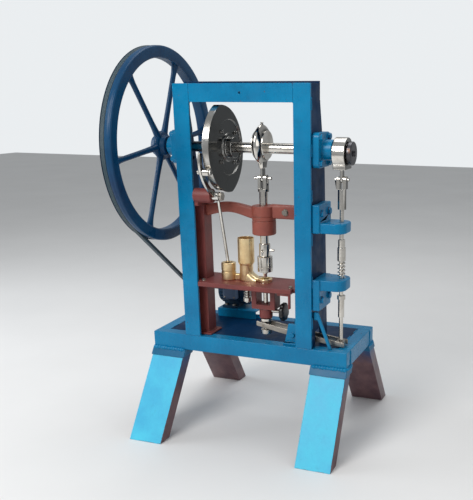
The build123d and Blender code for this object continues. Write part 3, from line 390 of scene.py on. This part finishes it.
leg_enamel_painted_light = leg_enamel()
leg_beads = []
for node in ("leg_front_left", "leg_front_right", "leg_rear_left", "leg_rear_right"):
    softened(node, leg_enamel_painted_light, 0.0016)
    low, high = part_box(node)
    side = 1 if low.x > 0 else -1
    end = 1 if "rear" in node else -1
    web_y = rear_high.y if end > 0 else rail_low.y
    outer_x = rail_high.x if side > 0 else rail_low.x
    inner_x = outer_x - side * 0.108
    seam = rail_low.z - 0.001
    leg_beads.append(bead([(inner_x, web_y + end * 0.0015, seam),
                           (outer_x - side * 0.004, web_y + end * 0.0015, seam),
                           (outer_x - side * 0.0005, web_y - end * 0.004, seam),
                           (outer_x - side * 0.0005, web_y - end * 0.050, seam)], bead_r * 1.7, 0.0085))
surface("leg_welds", leg_beads, frame_enamel, "frame", crease=60, slot="frame_paint")

# ---- Upright frame ----
# Flat bars butt-welded into a window, ground flush, with plate sides and a folded top cover in a darker blue,
# which is painted shade.
# Short stitch welds hold the sides to the bars.
for node in ("left_stile", "right_stile", "top_rail"):
    softened(node, frame_enamel, 0.0012)
for node, edge in (("left_side_plate", 0.0010), ("right_side_plate", 0.0010), ("top_cover", 0.0012)):
    softened(node, navy_enamel, edge)
stile_low, stile_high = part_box("right_stile")
left_low, left_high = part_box("left_stile")
stitches = []
for x in (left_low.x, stile_high.x):
    for k in range(6):
        z = stile_low.z + 0.06 + 0.122 * k
        stitches.append(bead([(x, stile_high.y, z), (x, stile_high.y, z + 0.034)], bead_r * 0.55))
for x in (left_high.x, stile_low.x):
    foot = [(x, stile_low.y + 0.001, stile_low.z), (x, stile_high.y, stile_low.z)]
    stitches.append(bead(foot, bead_r * 0.8))
    head_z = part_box("top_rail")[0].z
    stitches.append(bead([(x, stile_low.y + 0.001, head_z), (x, stile_high.y, head_z)], bead_r * 0.7))
for x0, x1 in ((left_low.x, left_high.x), (stile_low.x, stile_high.x)):
    stitches.append(bead([(x0 + 0.002, stile_high.y, stile_low.z), (x1 - 0.002, stile_high.y, stile_low.z)],
                         bead_r))
surface("frame_welds", stitches, frame_enamel, "frame", crease=60, slot="frame_paint")

# ---- Bearings and brackets with their bolts ----
# Cast flange bearings and thick cast brackets, bolted through the side plates with zinc hexagon bolts on
# washers.
# All were painted in place with the frame, bolts too.
for node, edge in (("left_bearing", 0.0025), ("right_bearing", 0.0025), ("upper_rod_bracket", 0.0035),
                   ("lower_rod_bracket", 0.0030), ("lift_lever_bracket", 0.0015)):
    softened(node, frame_enamel, edge, 3)


def turned(profile, axis, centre, around=48):
    """Carries a profile of (radius, distance along) round the axis through the centre."""
    profile = np.array(profile, float)
    angle = np.linspace(0, 2 * pi, around, endpoint=False)
    grid = np.zeros((len(profile), around, 3))
    first, second = [k for k in range(3) if k != axis]
    grid[..., axis] = profile[:, 1:2]
    grid[..., first] = profile[:, :1] * np.cos(angle)
    grid[..., second] = profile[:, :1] * np.sin(angle)
    return grid + np.array(centre, float)


def hex_head(axis, face, outward, apothem, height):
    """A hexagon head on a washer: six flats, cut at the top by a shallow cone, standing outward from its
    face."""
    angle = np.linspace(0, 2 * pi, 48, endpoint=False)
    flats = apothem / np.cos((angle + pi / 6) % (pi / 3) - pi / 6)
    washer_top = 0.0016
    levels = washer_top + height * np.array([0.0, 0.0, 0.80, 0.87, 0.94, 1.0, 1.0])
    cone = apothem * 0.97 + (washer_top + height - levels) * 1.7
    rings = np.minimum(flats[None], cone[:, None])
    rings[0] *= 0.2
    rings[-1] *= 0.9
    first, second = [k for k in range(3) if k != axis]
    grid = np.zeros((len(levels), 48, 3))
    grid[..., axis] = outward * levels[:, None]
    grid[..., first] = rings * np.cos(angle)
    grid[..., second] = rings * np.sin(angle)
    disc = [(0.001, 0), (apothem * 1.27, 0), (apothem * 1.27, outward * 0.0012),
            (apothem * 1.22, outward * washer_top),
            (0.001, outward * washer_top)]
    return [grid + np.array(face, float), turned(disc, axis, face)]


heads = []
for node, outward in (("left_bearing", -1), ("right_bearing", 1)):
    low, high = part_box(node)
    face = 0.020
    x = (left_low.x if outward < 0 else stile_high.x) + outward * face
    middle = (low + high) / 2
    for a in (-0.035, 0.035):
        for b in (-0.035, 0.035):
            heads += hex_head(0, (x, middle.y + a, middle.z + b), outward, 0.0078, 0.0054)
for node, level in (("upper_rod_bracket", 0.6935), ("lower_rod_bracket", 0.445)):
    low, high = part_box(node)
    for a in (-0.030, 0.030):
        y = (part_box("main_shaft")[0].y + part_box("main_shaft")[1].y) / 2 + a
        heads += hex_head(0, (stile_high.x + 0.022, y, level), 1, 0.0087, 0.0054)
bolt_heads = surface("frame_bolt_heads", heads, frame_enamel, "frame", crease=30, slot="frame_paint")
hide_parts("frame_bolts")

for outward, node in ((-1, "left_bearing"), (1, "right_bearing")):
    low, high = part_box(node)
    x = (high.x - 0.034) if outward > 0 else (low.x + 0.034)
    middle = (low + high) / 2
    nipple = [(0.0001, 0.0), (0.0042, 0.0), (0.0042, 0.0030), (0.0026, 0.0040), (0.0026, 0.0075),
              (0.0034, 0.0090),
              (0.0020, 0.0105), (0.0001, 0.0108)]
    surface(node + "_nipple", [turned(nipple, 2, (x, middle.y, middle.z + 0.0278))], frame_enamel, "frame",
            slot="frame_paint")

# ---- Crankshaft ----
# Bright ground bar with two eccentrics and a cam disc keyed to it, all filmed with oil.
shaft_low, shaft_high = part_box("main_shaft")
shaft_y = (shaft_low.y + shaft_high.y) / 2
shaft_z = (shaft_low.z + shaft_high.z) / 2
shaft_r = (shaft_high.z - shaft_low.z) / 2


def bright_steel(name, axis, tint=(0.68, 0.65, 0.60), dull=(0.36, 0.32, 0.27), rough=0.17, lines=420.0,
                 side_shade_share=0.0):
    """Bare steel: tool lines across the axis, oil and light rust, and faces square to X darkened by the
    given share as painted shade."""
    finish, tree, shader, position = new_finish(name)
    stretch = [0.03, 0.03, 0.03]
    stretch[axis] = 1.0
    lathe = noise(tree, position, lines, 2.0, 0.5, tuple(stretch))
    stain = ramp(tree, noise(tree, position, 17.0, 6.0, 0.65), (0.46, 0.0), (0.70, 1.0))
    fine = noise(tree, position, 75.0, 5.0, 0.6)
    tone = mixed(tree, maths(tree, "MULTIPLY", stain, 0.75), tint, dull)
    rust = ramp(tree, noise(tree, position, 33.0, 7.0, 0.7), (0.63, 0.0), (0.74, 0.6))
    tone = mixed(tree, rust, tone, (0.20, 0.10, 0.05))
    # Faces square to X are darkened here: painted shade.
    if side_shade_share:
        facing = add(tree, "SeparateXYZ", Vector=add(tree, "NewGeometry").outputs["Normal"])
        painted_side_shade = ramp(tree, maths(tree, "ABSOLUTE", facing.outputs["X"]), (0.72, 0.0), (0.94, side_shade_share))
        tone = mixed(tree, painted_side_shade, tone, (0.030, 0.034, 0.036))
    link(tree, tone, shader.inputs["Base Color"])
    shader.inputs["Metallic"].default_value = 1.0
    gloss = maths(tree, "ADD", maths(tree, "MULTIPLY", fine, rough * 0.9),
                  maths(tree, "MULTIPLY", stain, 0.16))
    gloss = maths(tree, "ADD", gloss, maths(tree, "MULTIPLY", rust, 0.25))
    link(tree, maths(tree, "ADD", gloss, rough * 0.5), shader.inputs["Roughness"])
    bumped(tree, shader, maths(tree, "ADD", lathe, maths(tree, "MULTIPLY", fine, 0.3)), 0.00018, 0.5)
    return finish


steel_across = bright_steel("steel_turned_across", 0)
steel_upright = bright_steel("steel_turned_upright", 2)
steel_forged = bright_steel("steel_forged", 1, (0.36, 0.335, 0.30), (0.17, 0.145, 0.12), 0.30, 90.0)
steel_dark = bright_steel("steel_blackened", 2, (0.10, 0.10, 0.11), (0.045, 0.042, 0.042), 0.30, 260.0)
softened("main_shaft", steel_across, 0.0010)
# The cam's faces square to X are darkened nearly to black: painted shade.
softened("cam_disc", bright_steel("steel_cam", 0, (0.56, 0.55, 0.53), (0.30, 0.28, 0.25), 0.15, 60.0, 0.93),
         0.0012)
softened("ram_eccentric", steel_across, 0.0008)
softened("ejector_eccentric", steel_across, 0.0008)
softened("end_cap", steel_dark, 0.0010)

# ---- Flywheel ----
# One iron casting: a rim grooved for the belt, six round arms that swell into the hub and the rim, and a
# bored hub.
# The casting was filled, sprayed blue and rubbed on the rim by handling; its blue is darker than the frame's,
# as painted shade.
wheel_low, wheel_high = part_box("flywheel")
wheel_r = (wheel_high.z - wheel_low.z) / 2
wheel_x = (wheel_low.x + wheel_high.x) / 2
belt_low, belt_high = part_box("drive_belt")
belt_side = (belt_low.x + belt_high.x) / 2 - wheel_x
rim_half = 0.018
rim_inner = wheel_r - 0.034
hub_r = 0.036
arm_count = 6
arm_lead = -23.0


def arc(centre, r, start, stop, steps=5):
    """Points round part of a circle in a profile, angles in degrees."""
    turn = np.radians(np.linspace(start, stop, steps))
    return np.stack([centre[0] + r * np.cos(turn), centre[1] + r * np.sin(turn)], axis=1)


def iron_wheel_enamel_painted_shade():
    # A blue darker than the frame enamel, matched to the wheel's shaded face: painted shade.
    finish = enamel("wheel_enamel", (0.003, 0.056, 0.140), (0.002, 0.026, 0.082), (0.035, 0.035, 0.040), 0.30,
                    0.5, 0.2)
    return finish


wheel_enamel = iron_wheel_enamel_painted_shade()
corner = 0.006
lip = 0.0012
groove_left, groove_right = belt_side - 0.0071, belt_side + 0.0071
groove_floor = wheel_r - 0.0102
crown = np.linspace(0, 1, 7)
rim = np.vstack([
    arc((rim_inner + corner, corner - rim_half), corner, 180, 270),
    arc((wheel_r - lip, lip - rim_half), lip, 270, 340),
    [(groove_floor, groove_left), (groove_floor, groove_right)],
    np.stack([wheel_r - 0.0010 * (1 - 2 * crown) ** 2,
              groove_right + (rim_half - corner - groove_right) * crown], 1),
    arc((wheel_r - corner, rim_half - corner), corner, 20, 90),
    arc((rim_inner + corner, rim_half - corner), corner, 90, 180),
])
wheel_centre = (wheel_x, shaft_y, shaft_z)
rim_piece = surface("flywheel_rim", [turned(rim, 0, wheel_centre, 180)], wheel_enamel, "crankshaft",
                    looped=True,
                    crease=50, slot="frame_paint")
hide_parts("flywheel")
hub_half = 0.023
hub = np.vstack([
    [(shaft_r, hub_half), (shaft_r + 0.003, hub_half)],
    arc((hub_r - 0.011, hub_half - 0.004), 0.004, 90, 20, 4),
    [(hub_r - 0.004, 0.010)], arc((hub_r - 0.003, 0.0), 0.0095, 60, -60, 7), [(hub_r - 0.004, -0.010)],
    arc((hub_r - 0.011, 0.004 - hub_half), 0.004, -20, -90, 4),
    [(shaft_r + 0.003, -hub_half), (shaft_r, -hub_half)],
])
surface("flywheel_hub", [turned(hub, 0, wheel_centre, 72)], wheel_enamel, "crankshaft", looped=True,
        slot="frame_paint")


def wheel_arm(angle):
    """A round arm from hub to rim: radius 8 mm, flaring as the eighth and twentieth powers at its two
    ends."""
    t = np.linspace(0, 1, 33)
    out = hub_r - 0.006 + t * (rim_inner + 0.004 - hub_r + 0.006)
    flare = 0.0080 + 0.0040 * (1 - t) ** 8 + 0.0040 * t ** 20
    turn = np.linspace(0, 2 * pi, 28, endpoint=False)
    ring_x = flare[:, None] * np.cos(turn) * 0.92
    ring_t = flare[:, None] * np.sin(turn) * (1 + 0.5 * np.maximum(t - 0.85, 0)[:, None] / 0.15)
    y = -np.sin(angle) * out[:, None] + np.cos(angle) * ring_t
    z = np.cos(angle) * out[:, None] + np.sin(angle) * ring_t
    return np.stack([wheel_x + ring_x, shaft_y + y, shaft_z + z], axis=-1)


arms = [wheel_arm(radians(arm_lead + 360 / arm_count * k)) for k in range(arm_count)]
surface("flywheel_arms", arms, wheel_enamel, "crankshaft", slot="frame_paint")
key_z = shaft_z + shaft_r
key = np.array([[(x, shaft_y + a * 0.0024, key_z + b * 0.0022)
                 for a, b in ((-1, -1), (1, -1), (1, 1), (-1, 1))]
                for x in (wheel_x - 0.024, wheel_x + 0.026)])
surface("flywheel_key", [key], steel_forged, "crankshaft", slot="ground_steel")

# ---- Belt and motor ----
# A fabric-faced V-belt runs from the wheel's groove to a small iron pulley on a foot-mounted ribbed motor.
# The motor stands on a steel plate behind the press, in its maker's grey-blue enamel.


def belt_rubber():
    """Rubber with a faint woven face, tinted blue-teal as a painted reflection and mottled with dust."""
    finish, tree, shader, position = new_finish("belt_rubber")
    dust = ramp(tree, noise(tree, position, 60.0, 6.0, 0.7), (0.45, 0.0), (0.75, 0.6))
    link(tree, mixed(tree, dust, (0.018, 0.045, 0.062), (0.055, 0.085, 0.100)), shader.inputs["Base Color"])
    shader.inputs["Roughness"].default_value = 0.5
    weave = add(tree, "TexWave", Vector=position, Scale=420.0, Distortion=0.6, bands_direction="DIAGONAL")
    bumped(tree, shader, weave.outputs["Fac"], 0.0003, 0.6)
    return finish


softened("drive_belt", belt_rubber(), 0.0014)
motor_enamel = enamel("motor_enamel", (0.014, 0.050, 0.100), (0.007, 0.028, 0.062), (0.09, 0.09, 0.09), 0.34,
                      0.5)
box_enamel = enamel("terminal_box_enamel", (0.16, 0.22, 0.34), (0.10, 0.15, 0.24), (0.09, 0.09, 0.09), 0.38,
                    0.5)
softened("motor_body", motor_enamel, 0.0008, 1)
softened("motor_fan_cover", motor_enamel, 0.0008)
softened("motor_terminal_box", box_enamel, 0.0030, 3)
softened("motor_plate", frame_enamel, 0.0010)
softened("motor_pulley", bright_steel("pulley_iron", 0, (0.20, 0.20, 0.21), (0.10, 0.09, 0.09), 0.34, 120.0),
         0.0010)
cover_low, cover_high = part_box("motor_fan_cover")
motor_y = (cover_low.y + cover_high.y) / 2
motor_z = (cover_low.z + cover_high.z) / 2
grille = []
for ring_r in (0.010, 0.017, 0.024, 0.031, 0.038):
    grille.append(turned(arc((ring_r, cover_high.x), 0.0011, 0, 324, 10), 0, (0, motor_y, motor_z), 72))
surface("fan_grille", grille, motor_enamel, "frame", looped=True, slot="motor_paint")
motor_low, motor_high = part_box("motor_body")
motor_bolts = []
for x in (motor_low.x + 0.026, motor_high.x - 0.026):
    for y in (motor_y - 0.035, motor_y + 0.035):
        motor_bolts += hex_head(2, (x, y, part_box("motor_plate")[1].z + 0.008), 1, 0.0050, 0.0040)
box_low, box_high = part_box("motor_terminal_box")
screw = [(0.0002, 0.0), (0.0032, 0.0), (0.0032, -0.0009), (0.0016, -0.0017), (0.0002, -0.0018)]
for x in (box_low.x + 0.007, box_high.x - 0.007):
    for z in (box_low.z + 0.007, box_high.z - 0.007):
        motor_bolts.append(turned(screw, 1, (x, box_low.y + 0.0002, z), 20))
surface("motor_screws", motor_bolts, steel_forged, "frame", crease=30, slot="ground_steel")

# ---- Red castings ----
# Iron castings under satin red oxide: the left column, the arched cross bar with the ram's guide, the table
# and bridge.
# The sand skin shows through the paint, and oil has darkened it near the slides.


def red_oxide(name, light, dark):
    """Red oxide paint on a sand casting: two reds, oily dark patches, a grainy skin and pale rubbed edges."""
    finish, tree, shader, position = new_finish(name)
    broad = ramp(tree, noise(tree, position, 10.0, 6.0, 0.62), (0.34, 0.0), (0.66, 1.0))
    tone = mixed(tree, broad, dark, light)
    oil = ramp(tree, noise(tree, position, 5.0, 7.0, 0.68), (0.52, 0.0), (0.72, 0.8))
    tone = mixed(tree, oil, tone, tuple(c * 0.32 for c in dark))
    patchy = ramp(tree, noise(tree, position, 50.0, 4.0, 0.6), (0.50, 0.0), (0.62, 1.0))
    worn = ramp(tree, edge_wear(tree, 0.0026, patchy), (0.25, 0.0), (0.6, 0.8))
    link(tree, mixed(tree, worn, tone, (0.20, 0.17, 0.155)), shader.inputs["Base Color"])
    grain = noise(tree, position, 330.0, 3.0, 0.6)
    link(tree, maths(tree, "SUBTRACT", ramp(tree, grain, (0.3, 0.40), (0.7, 0.58)),
                     maths(tree, "MULTIPLY", oil, 0.18)),
         shader.inputs["Roughness"])
    bumped(tree, shader, maths(tree, "ADD", grain, noise(tree, position, 60.0, 3.0)), 0.0006, 0.5)
    return finish


casting_red = red_oxide("casting_red", (0.36, 0.095, 0.062), (0.22, 0.050, 0.038))
column_red = red_oxide("column_red", (0.24, 0.050, 0.042), (0.13, 0.026, 0.026))
softened("left_column", column_red, 0.0022)
softened("die_table", column_red, 0.0016)
softened("lower_bridge", column_red, 0.0020)
guide_low, guide_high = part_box("ram_guide")
column_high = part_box("left_column")[1]
rod_low, rod_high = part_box("ram_rod")
ram_x = (rod_low.x + rod_high.x) / 2
guide_r = 0.035
bar_left = guide_low.x
bar_right = guide_high.x
guide_base = 0.619
guide_head = 0.703


def cross_bar(x0, x1, arch, low_z, high_z, half0, half1):
    """A bar carried along X: its top and bottom rise as a sine arch, and its half thickness drifts from
    half0 to half1."""
    t = np.linspace(0, 1, 41)
    rise = np.sin(pi * np.clip(t * 1.06, 0, 1)) ** 1.3
    top = high_z + arch * rise
    bottom = low_z + arch * 1.35 * rise
    half = half0 + (half1 - half0) * t ** 3
    turn = np.linspace(0, 2 * pi, 36, endpoint=False)
    c, s = np.cos(turn), np.sin(turn)
    wide = np.sign(c) * np.abs(c) ** 0.45
    tall = np.sign(s) * np.abs(s) ** 0.45
    x = np.repeat((x0 + (x1 - x0) * t)[:, None], 36, axis=1)
    y = shaft_y + half[:, None] * wide
    z = ((top + bottom) / 2)[:, None] + ((top - bottom) / 2)[:, None] * tall
    return np.stack([x, y, z], axis=-1)


bars = [cross_bar(bar_left - 0.004, ram_x - guide_r + 0.010, 0.011, 0.664, 0.698, 0.0085, 0.016),
        cross_bar(bar_right - 0.004, ram_x + guide_r - 0.010, 0.0, 0.667, 0.708, 0.0075, 0.014),
        cross_bar(bar_right - 0.0085, bar_right, 0.0, guide_low.z + 0.036, guide_high.z, 0.026, 0.026)]
cross_piece = surface("ram_cross_bar", bars, casting_red, "frame", crease=50, slot="red_primer")
boss = np.vstack([
    [(0.01255, guide_base)], arc((guide_r - 0.004, guide_base + 0.004), 0.004, 270, 360),
    [(guide_r, guide_base + 0.040), (guide_r - 0.0016, guide_base + 0.0413),
     (guide_r - 0.0016, guide_base + 0.0425),
     (guide_r, guide_base + 0.0438), (guide_r, guide_base + 0.052), (guide_r - 0.0016, guide_base + 0.0533),
     (guide_r - 0.0016, guide_base + 0.0545), (guide_r, guide_base + 0.0558)],
    arc((guide_r - 0.003, guide_head - 0.003), 0.003, 0, 90),
    [(0.0150, guide_head), (0.01255, guide_head - 0.0020)],
])
surface("ram_guide_boss", [turned(boss, 2, (ram_x, shaft_y, 0), 96)], casting_red, "frame", looped=True,
        crease=40, slot="red_primer")
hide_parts("ram_guide")

# ---- Table bolts, die and lower punch ----
# Zinc hexagon bolts hold the table and the guide; the die is a ground bush pressed into the table.
table_low, table_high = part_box("die_table")
apron_left, apron_right = left_high.x + 0.008, stile_low.x - 0.008
press_heads = []
for x, y in ((apron_left + 0.009, table_low.y + 0.022), (apron_right - 0.009, table_low.y + 0.022),
             (bar_right - 0.040, table_high.y - 0.014), (column_high.x - 0.016, table_high.y - 0.014)):
    press_heads += hex_head(2, (x, y, table_high.z), 1, 0.0047, 0.0044)
press_heads += hex_head(1, (ram_x + 0.070, shaft_y - 0.0080, 0.6870), -1, 0.0080, 0.0050)
press_bolt_heads = surface("press_bolt_heads", press_heads, steel_forged, "frame", crease=30,
                           slot="ground_steel")
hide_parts("press_bolts")
softened("die", steel_upright, 0.0008)
softened("lower_punch", steel_upright, 0.0008)

# ---- Ram ----
# A strap on the eccentric, a fork, a ground rod and a holder that clamps the punch with a castellated nut.
# The strap is forged, machined to a lens shape and polished by hand.
strap_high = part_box("ram_strap")[1]
ram_centre_z = 0.874
pin_z = 0.781


def tapered_strap():
    """The strap's ring: bore 40, outside 56, 28 wide at the shaft's height and narrowing as a square law up
    and down."""
    profile = np.vstack([
        [(0.0401, -0.0134), (0.0408, -0.0140), (0.0425, -0.0139), (0.0470, -0.0115)],
        arc((0.0480, 0.0), 0.0080, -60, 60, 9),
        [(0.0470, 0.0115), (0.0425, 0.0139), (0.0408, 0.0140), (0.0401, 0.0134)],
    ])
    ring = turned(profile, 0, (ram_x, shaft_y, ram_centre_z), 120)
    lift = (ring[..., 2] - ram_centre_z) / 0.056
    narrow = 1 - 0.30 * np.clip(lift, 0, 1) ** 2 - 0.36 * np.clip(-lift, 0, 1) ** 2
    ring[..., 0] = ram_x + (ring[..., 0] - ram_x) * narrow
    return ring


def strap_neck():
    """The neck: rounded-square sections from 19 x 40 to 16 x 28 at the shoulder, then the 8 x 22 blade and
    its eye."""
    top, shoulder = ram_centre_z - 0.043, pin_z + 0.030
    z = np.concatenate([np.linspace(top, shoulder, 20), np.linspace(shoulder - 0.0004, shoulder - 0.0020, 5),
                        np.linspace(shoulder - 0.004, pin_z, 10),
                        pin_z - 0.011 * np.sin(np.linspace(0.1, pi / 2, 9))])
    fall = np.clip((z - shoulder) / (top - shoulder), 0, 1)
    step = np.sqrt(np.clip((z - shoulder + 0.0020) / 0.0020, 0, 1))
    half_x = 0.0040 + 0.0040 * step + 0.0015 * fall
    eye = np.sqrt(np.clip(1 - ((pin_z - z) / 0.0111) ** 2, 0, 1))
    half_y = np.where(z < pin_z, 0.011 * eye + 0.0002, 0.011 + 0.0030 * step + 0.0058 * fall ** 1.3)
    turn = np.linspace(0, 2 * pi, 40, endpoint=False)
    c, s = np.cos(turn), np.sin(turn)
    x = ram_x + half_x[:, None] * np.sign(c) * np.abs(c) ** 0.5
    y = shaft_y + half_y[:, None] * np.sign(s) * np.abs(s) ** 0.5
    return np.stack([x, y, np.repeat(z[:, None], 40, axis=1)], axis=-1)


# Faces square to X, such as the strap's flat sides, are darkened: painted shade.
polished = bright_steel("steel_polished", 2, (0.74, 0.715, 0.67), (0.42, 0.38, 0.33), 0.12, 60.0, 0.75)
strap_ring = surface("ram_strap_ring", [tapered_strap()], polished, "ram_strap", looped=True, crease=50,
                     slot="ground_steel")
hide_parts("ram_strap")
surface("ram_strap_neck", [strap_neck()], polished, "ram_strap", crease=50, slot="ground_steel")
oiler = [(0.0002, -0.0020), (0.0044, -0.0020), (0.0044, 0.0016), (0.0030, 0.0022), (0.0030, 0.0036),
         (0.0042, 0.0042),
         (0.0042, 0.0058), (0.0030, 0.0067), (0.0002, 0.0070)]
surface("ram_strap_oiler", [turned(oiler, 2, (ram_x, shaft_y, strap_high.z - 0.0070), 24)], polished,
        "ram_strap",
        slot="ground_steel")
softened("ram_fork", polished, 0.0010, clamp=True)
softened("ram_rod", steel_upright, 0.0006)
softened("punch_holder", steel_upright, 0.0008)
softened("punch_nut", steel_upright, 0.0008)
softened("upper_punch", polished, 0.0006)

# ---- Lifting rod ----
# Strap, fork, rod, collars and spring, turned from bright bar, with a blackened cap over the end of the
# shaft.
softened("ejector_strap", polished, 0.0026, 3)
softened("ejector_fork", polished, 0.0010, clamp=True)
for node, edge in (("ejector_rod", 0.0005), ("rod_stop_collar", 0.0009), ("rod_lower_sleeve", 0.0009)):
    softened(node, steel_upright, edge)
frame["nodes"]["rod_spring"].data.materials.clear()
frame["nodes"]["rod_spring"].data.materials.append(steel_upright)
softened("lift_lever", steel_forged, 0.0010)

# ---- Feed lever ----
# A forged arm polished bright, with a hardened roller on a pin at its top and a rod down to the shoe's tail.
softened("feed_lever", polished, 0.0012)
softened("cam_roller", steel_across, 0.0008)
softened("lever_pivot_pin", steel_forged, 0.0010)

# ---- Feed shoe ----
# Cast brass, fettled and polished where the hand reaches: a round body under the hopper, an arm to the
# mouth over the die, and a drum on the tail that takes the lever's ball.


def brass(name, light, dark):
    """Cast brass: warm gold with brown tarnish in patches, hairline scratches and a soft polish on it all."""
    finish, tree, shader, position = new_finish(name)
    tarnish = ramp(tree, noise(tree, position, 19.0, 7.0, 0.66), (0.44, 0.0), (0.68, 0.85))
    scratch = noise(tree, position, 190.0, 4.0, 0.6, (1.0, 0.2, 0.5))
    link(tree, mixed(tree, tarnish, light, dark), shader.inputs["Base Color"])
    shader.inputs["Metallic"].default_value = 1.0
    gloss = maths(tree, "ADD", maths(tree, "MULTIPLY", scratch, 0.24), maths(tree, "MULTIPLY", tarnish, 0.20))
    link(tree, maths(tree, "ADD", gloss, 0.18), shader.inputs["Roughness"])
    bumped(tree, shader, maths(tree, "ADD", scratch, noise(tree, position, 48.0, 3.0)), 0.00028, 0.5)
    return finish


cast_brass = brass("cast_brass", (0.98, 0.80, 0.50), (0.72, 0.50, 0.25))
hopper_brass = brass("hopper_brass", (0.98, 0.76, 0.44), (0.72, 0.47, 0.22))
softened("feed_shoe", cast_brass, 0.0030, 3)
shoe_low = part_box("feed_shoe")[0]
hopper_low, hopper_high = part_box("hopper")
stem_x = (hopper_low.x + hopper_high.x) / 2


def shoe_arm():
    """The arm from the body to the mouth: half-round sections whose crown falls as a cosine and whose base
    stays flat."""
    t = np.linspace(0, 1, 25)
    x = stem_x + t * 0.0385
    crown = 0.0105 + 0.0280 * (0.5 + 0.5 * np.cos(pi * np.clip(t * 1.04, 0, 1)))
    half = 0.0190 + 0.0010 * t
    turn = np.linspace(0, pi, 25)
    y = shaft_y + half[:, None] * np.cos(turn)[None]
    z = shoe_low.z + 0.0004 + crown[:, None] * np.sin(turn)[None] ** 0.62
    return np.stack([np.repeat(x[:, None], 25, axis=1), y, z], axis=-1)


surface("feed_shoe_arm", [shoe_arm()], cast_brass, "feed_shoe", crease=50, slot="brass")
softened("tail_block", cast_brass, 0.0010)
softened("hopper", hopper_brass, 0.0005)
softened("shoe_stud", steel_upright, 0.0006)

# ---- Lock knob ----
# A moulded black hand knob on a steel stem, with eight finger hollows round its rim.
knob_low, knob_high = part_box("lock_knob")


def black_moulding():
    finish, tree, shader, position = new_finish("black_moulding")
    dust = ramp(tree, noise(tree, position, 70.0, 6.0, 0.7), (0.5, 0.0), (0.78, 0.5))
    link(tree, mixed(tree, dust, (0.012, 0.012, 0.013), (0.06, 0.055, 0.05)), shader.inputs["Base Color"])
    link(tree, ramp(tree, noise(tree, position, 40.0), (0.3, 0.22), (0.7, 0.42)), shader.inputs["Roughness"])
    bumped(tree, shader, noise(tree, position, 500.0), 0.0001, 0.4)
    return finish


def knob_body():
    """A disc about X whose radius dips in eight rounded hollows; the dips fade out towards both faces."""
    around = np.linspace(0, 2 * pi, 128, endpoint=False)
    level = np.array([0.0, 0.0, 0.06, 0.2, 0.4, 0.6, 0.8, 0.94, 1.0, 1.0])
    r = np.array([0.3, 0.86, 0.94, 0.99, 1.0, 1.0, 0.99, 0.94, 0.86, 0.3]) * 0.028
    dip = 1 - 0.085 * (0.5 + 0.5 * np.cos(8 * around)) ** 2
    rings = r[:, None] * np.where(r[:, None] > 0.02, dip[None], 1.0)
    x = np.repeat((knob_high.x - 0.014 + 0.014 * level)[:, None], 128, axis=1)
    middle_z = (knob_low.z + knob_high.z) / 2
    return np.stack([x, shaft_y + rings * np.cos(around), middle_z + rings * np.sin(around)], axis=-1)


knob_z = (knob_low.z + knob_high.z) / 2
knob_piece = surface("lock_knob_moulding", [knob_body()], black_moulding(), "lock_knob", slot="black_plastic")
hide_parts("lock_knob")
stem = [(0.0002, knob_low.x), (0.0058, knob_low.x), (0.0060, knob_low.x + 0.0008),
        (0.0060, knob_high.x - 0.013),
        (0.0002, knob_high.x - 0.013)]
surface("lock_knob_stem", [turned(stem, 0, (0, shaft_y, knob_z), 40)], steel_across, "lock_knob",
        slot="ground_steel")
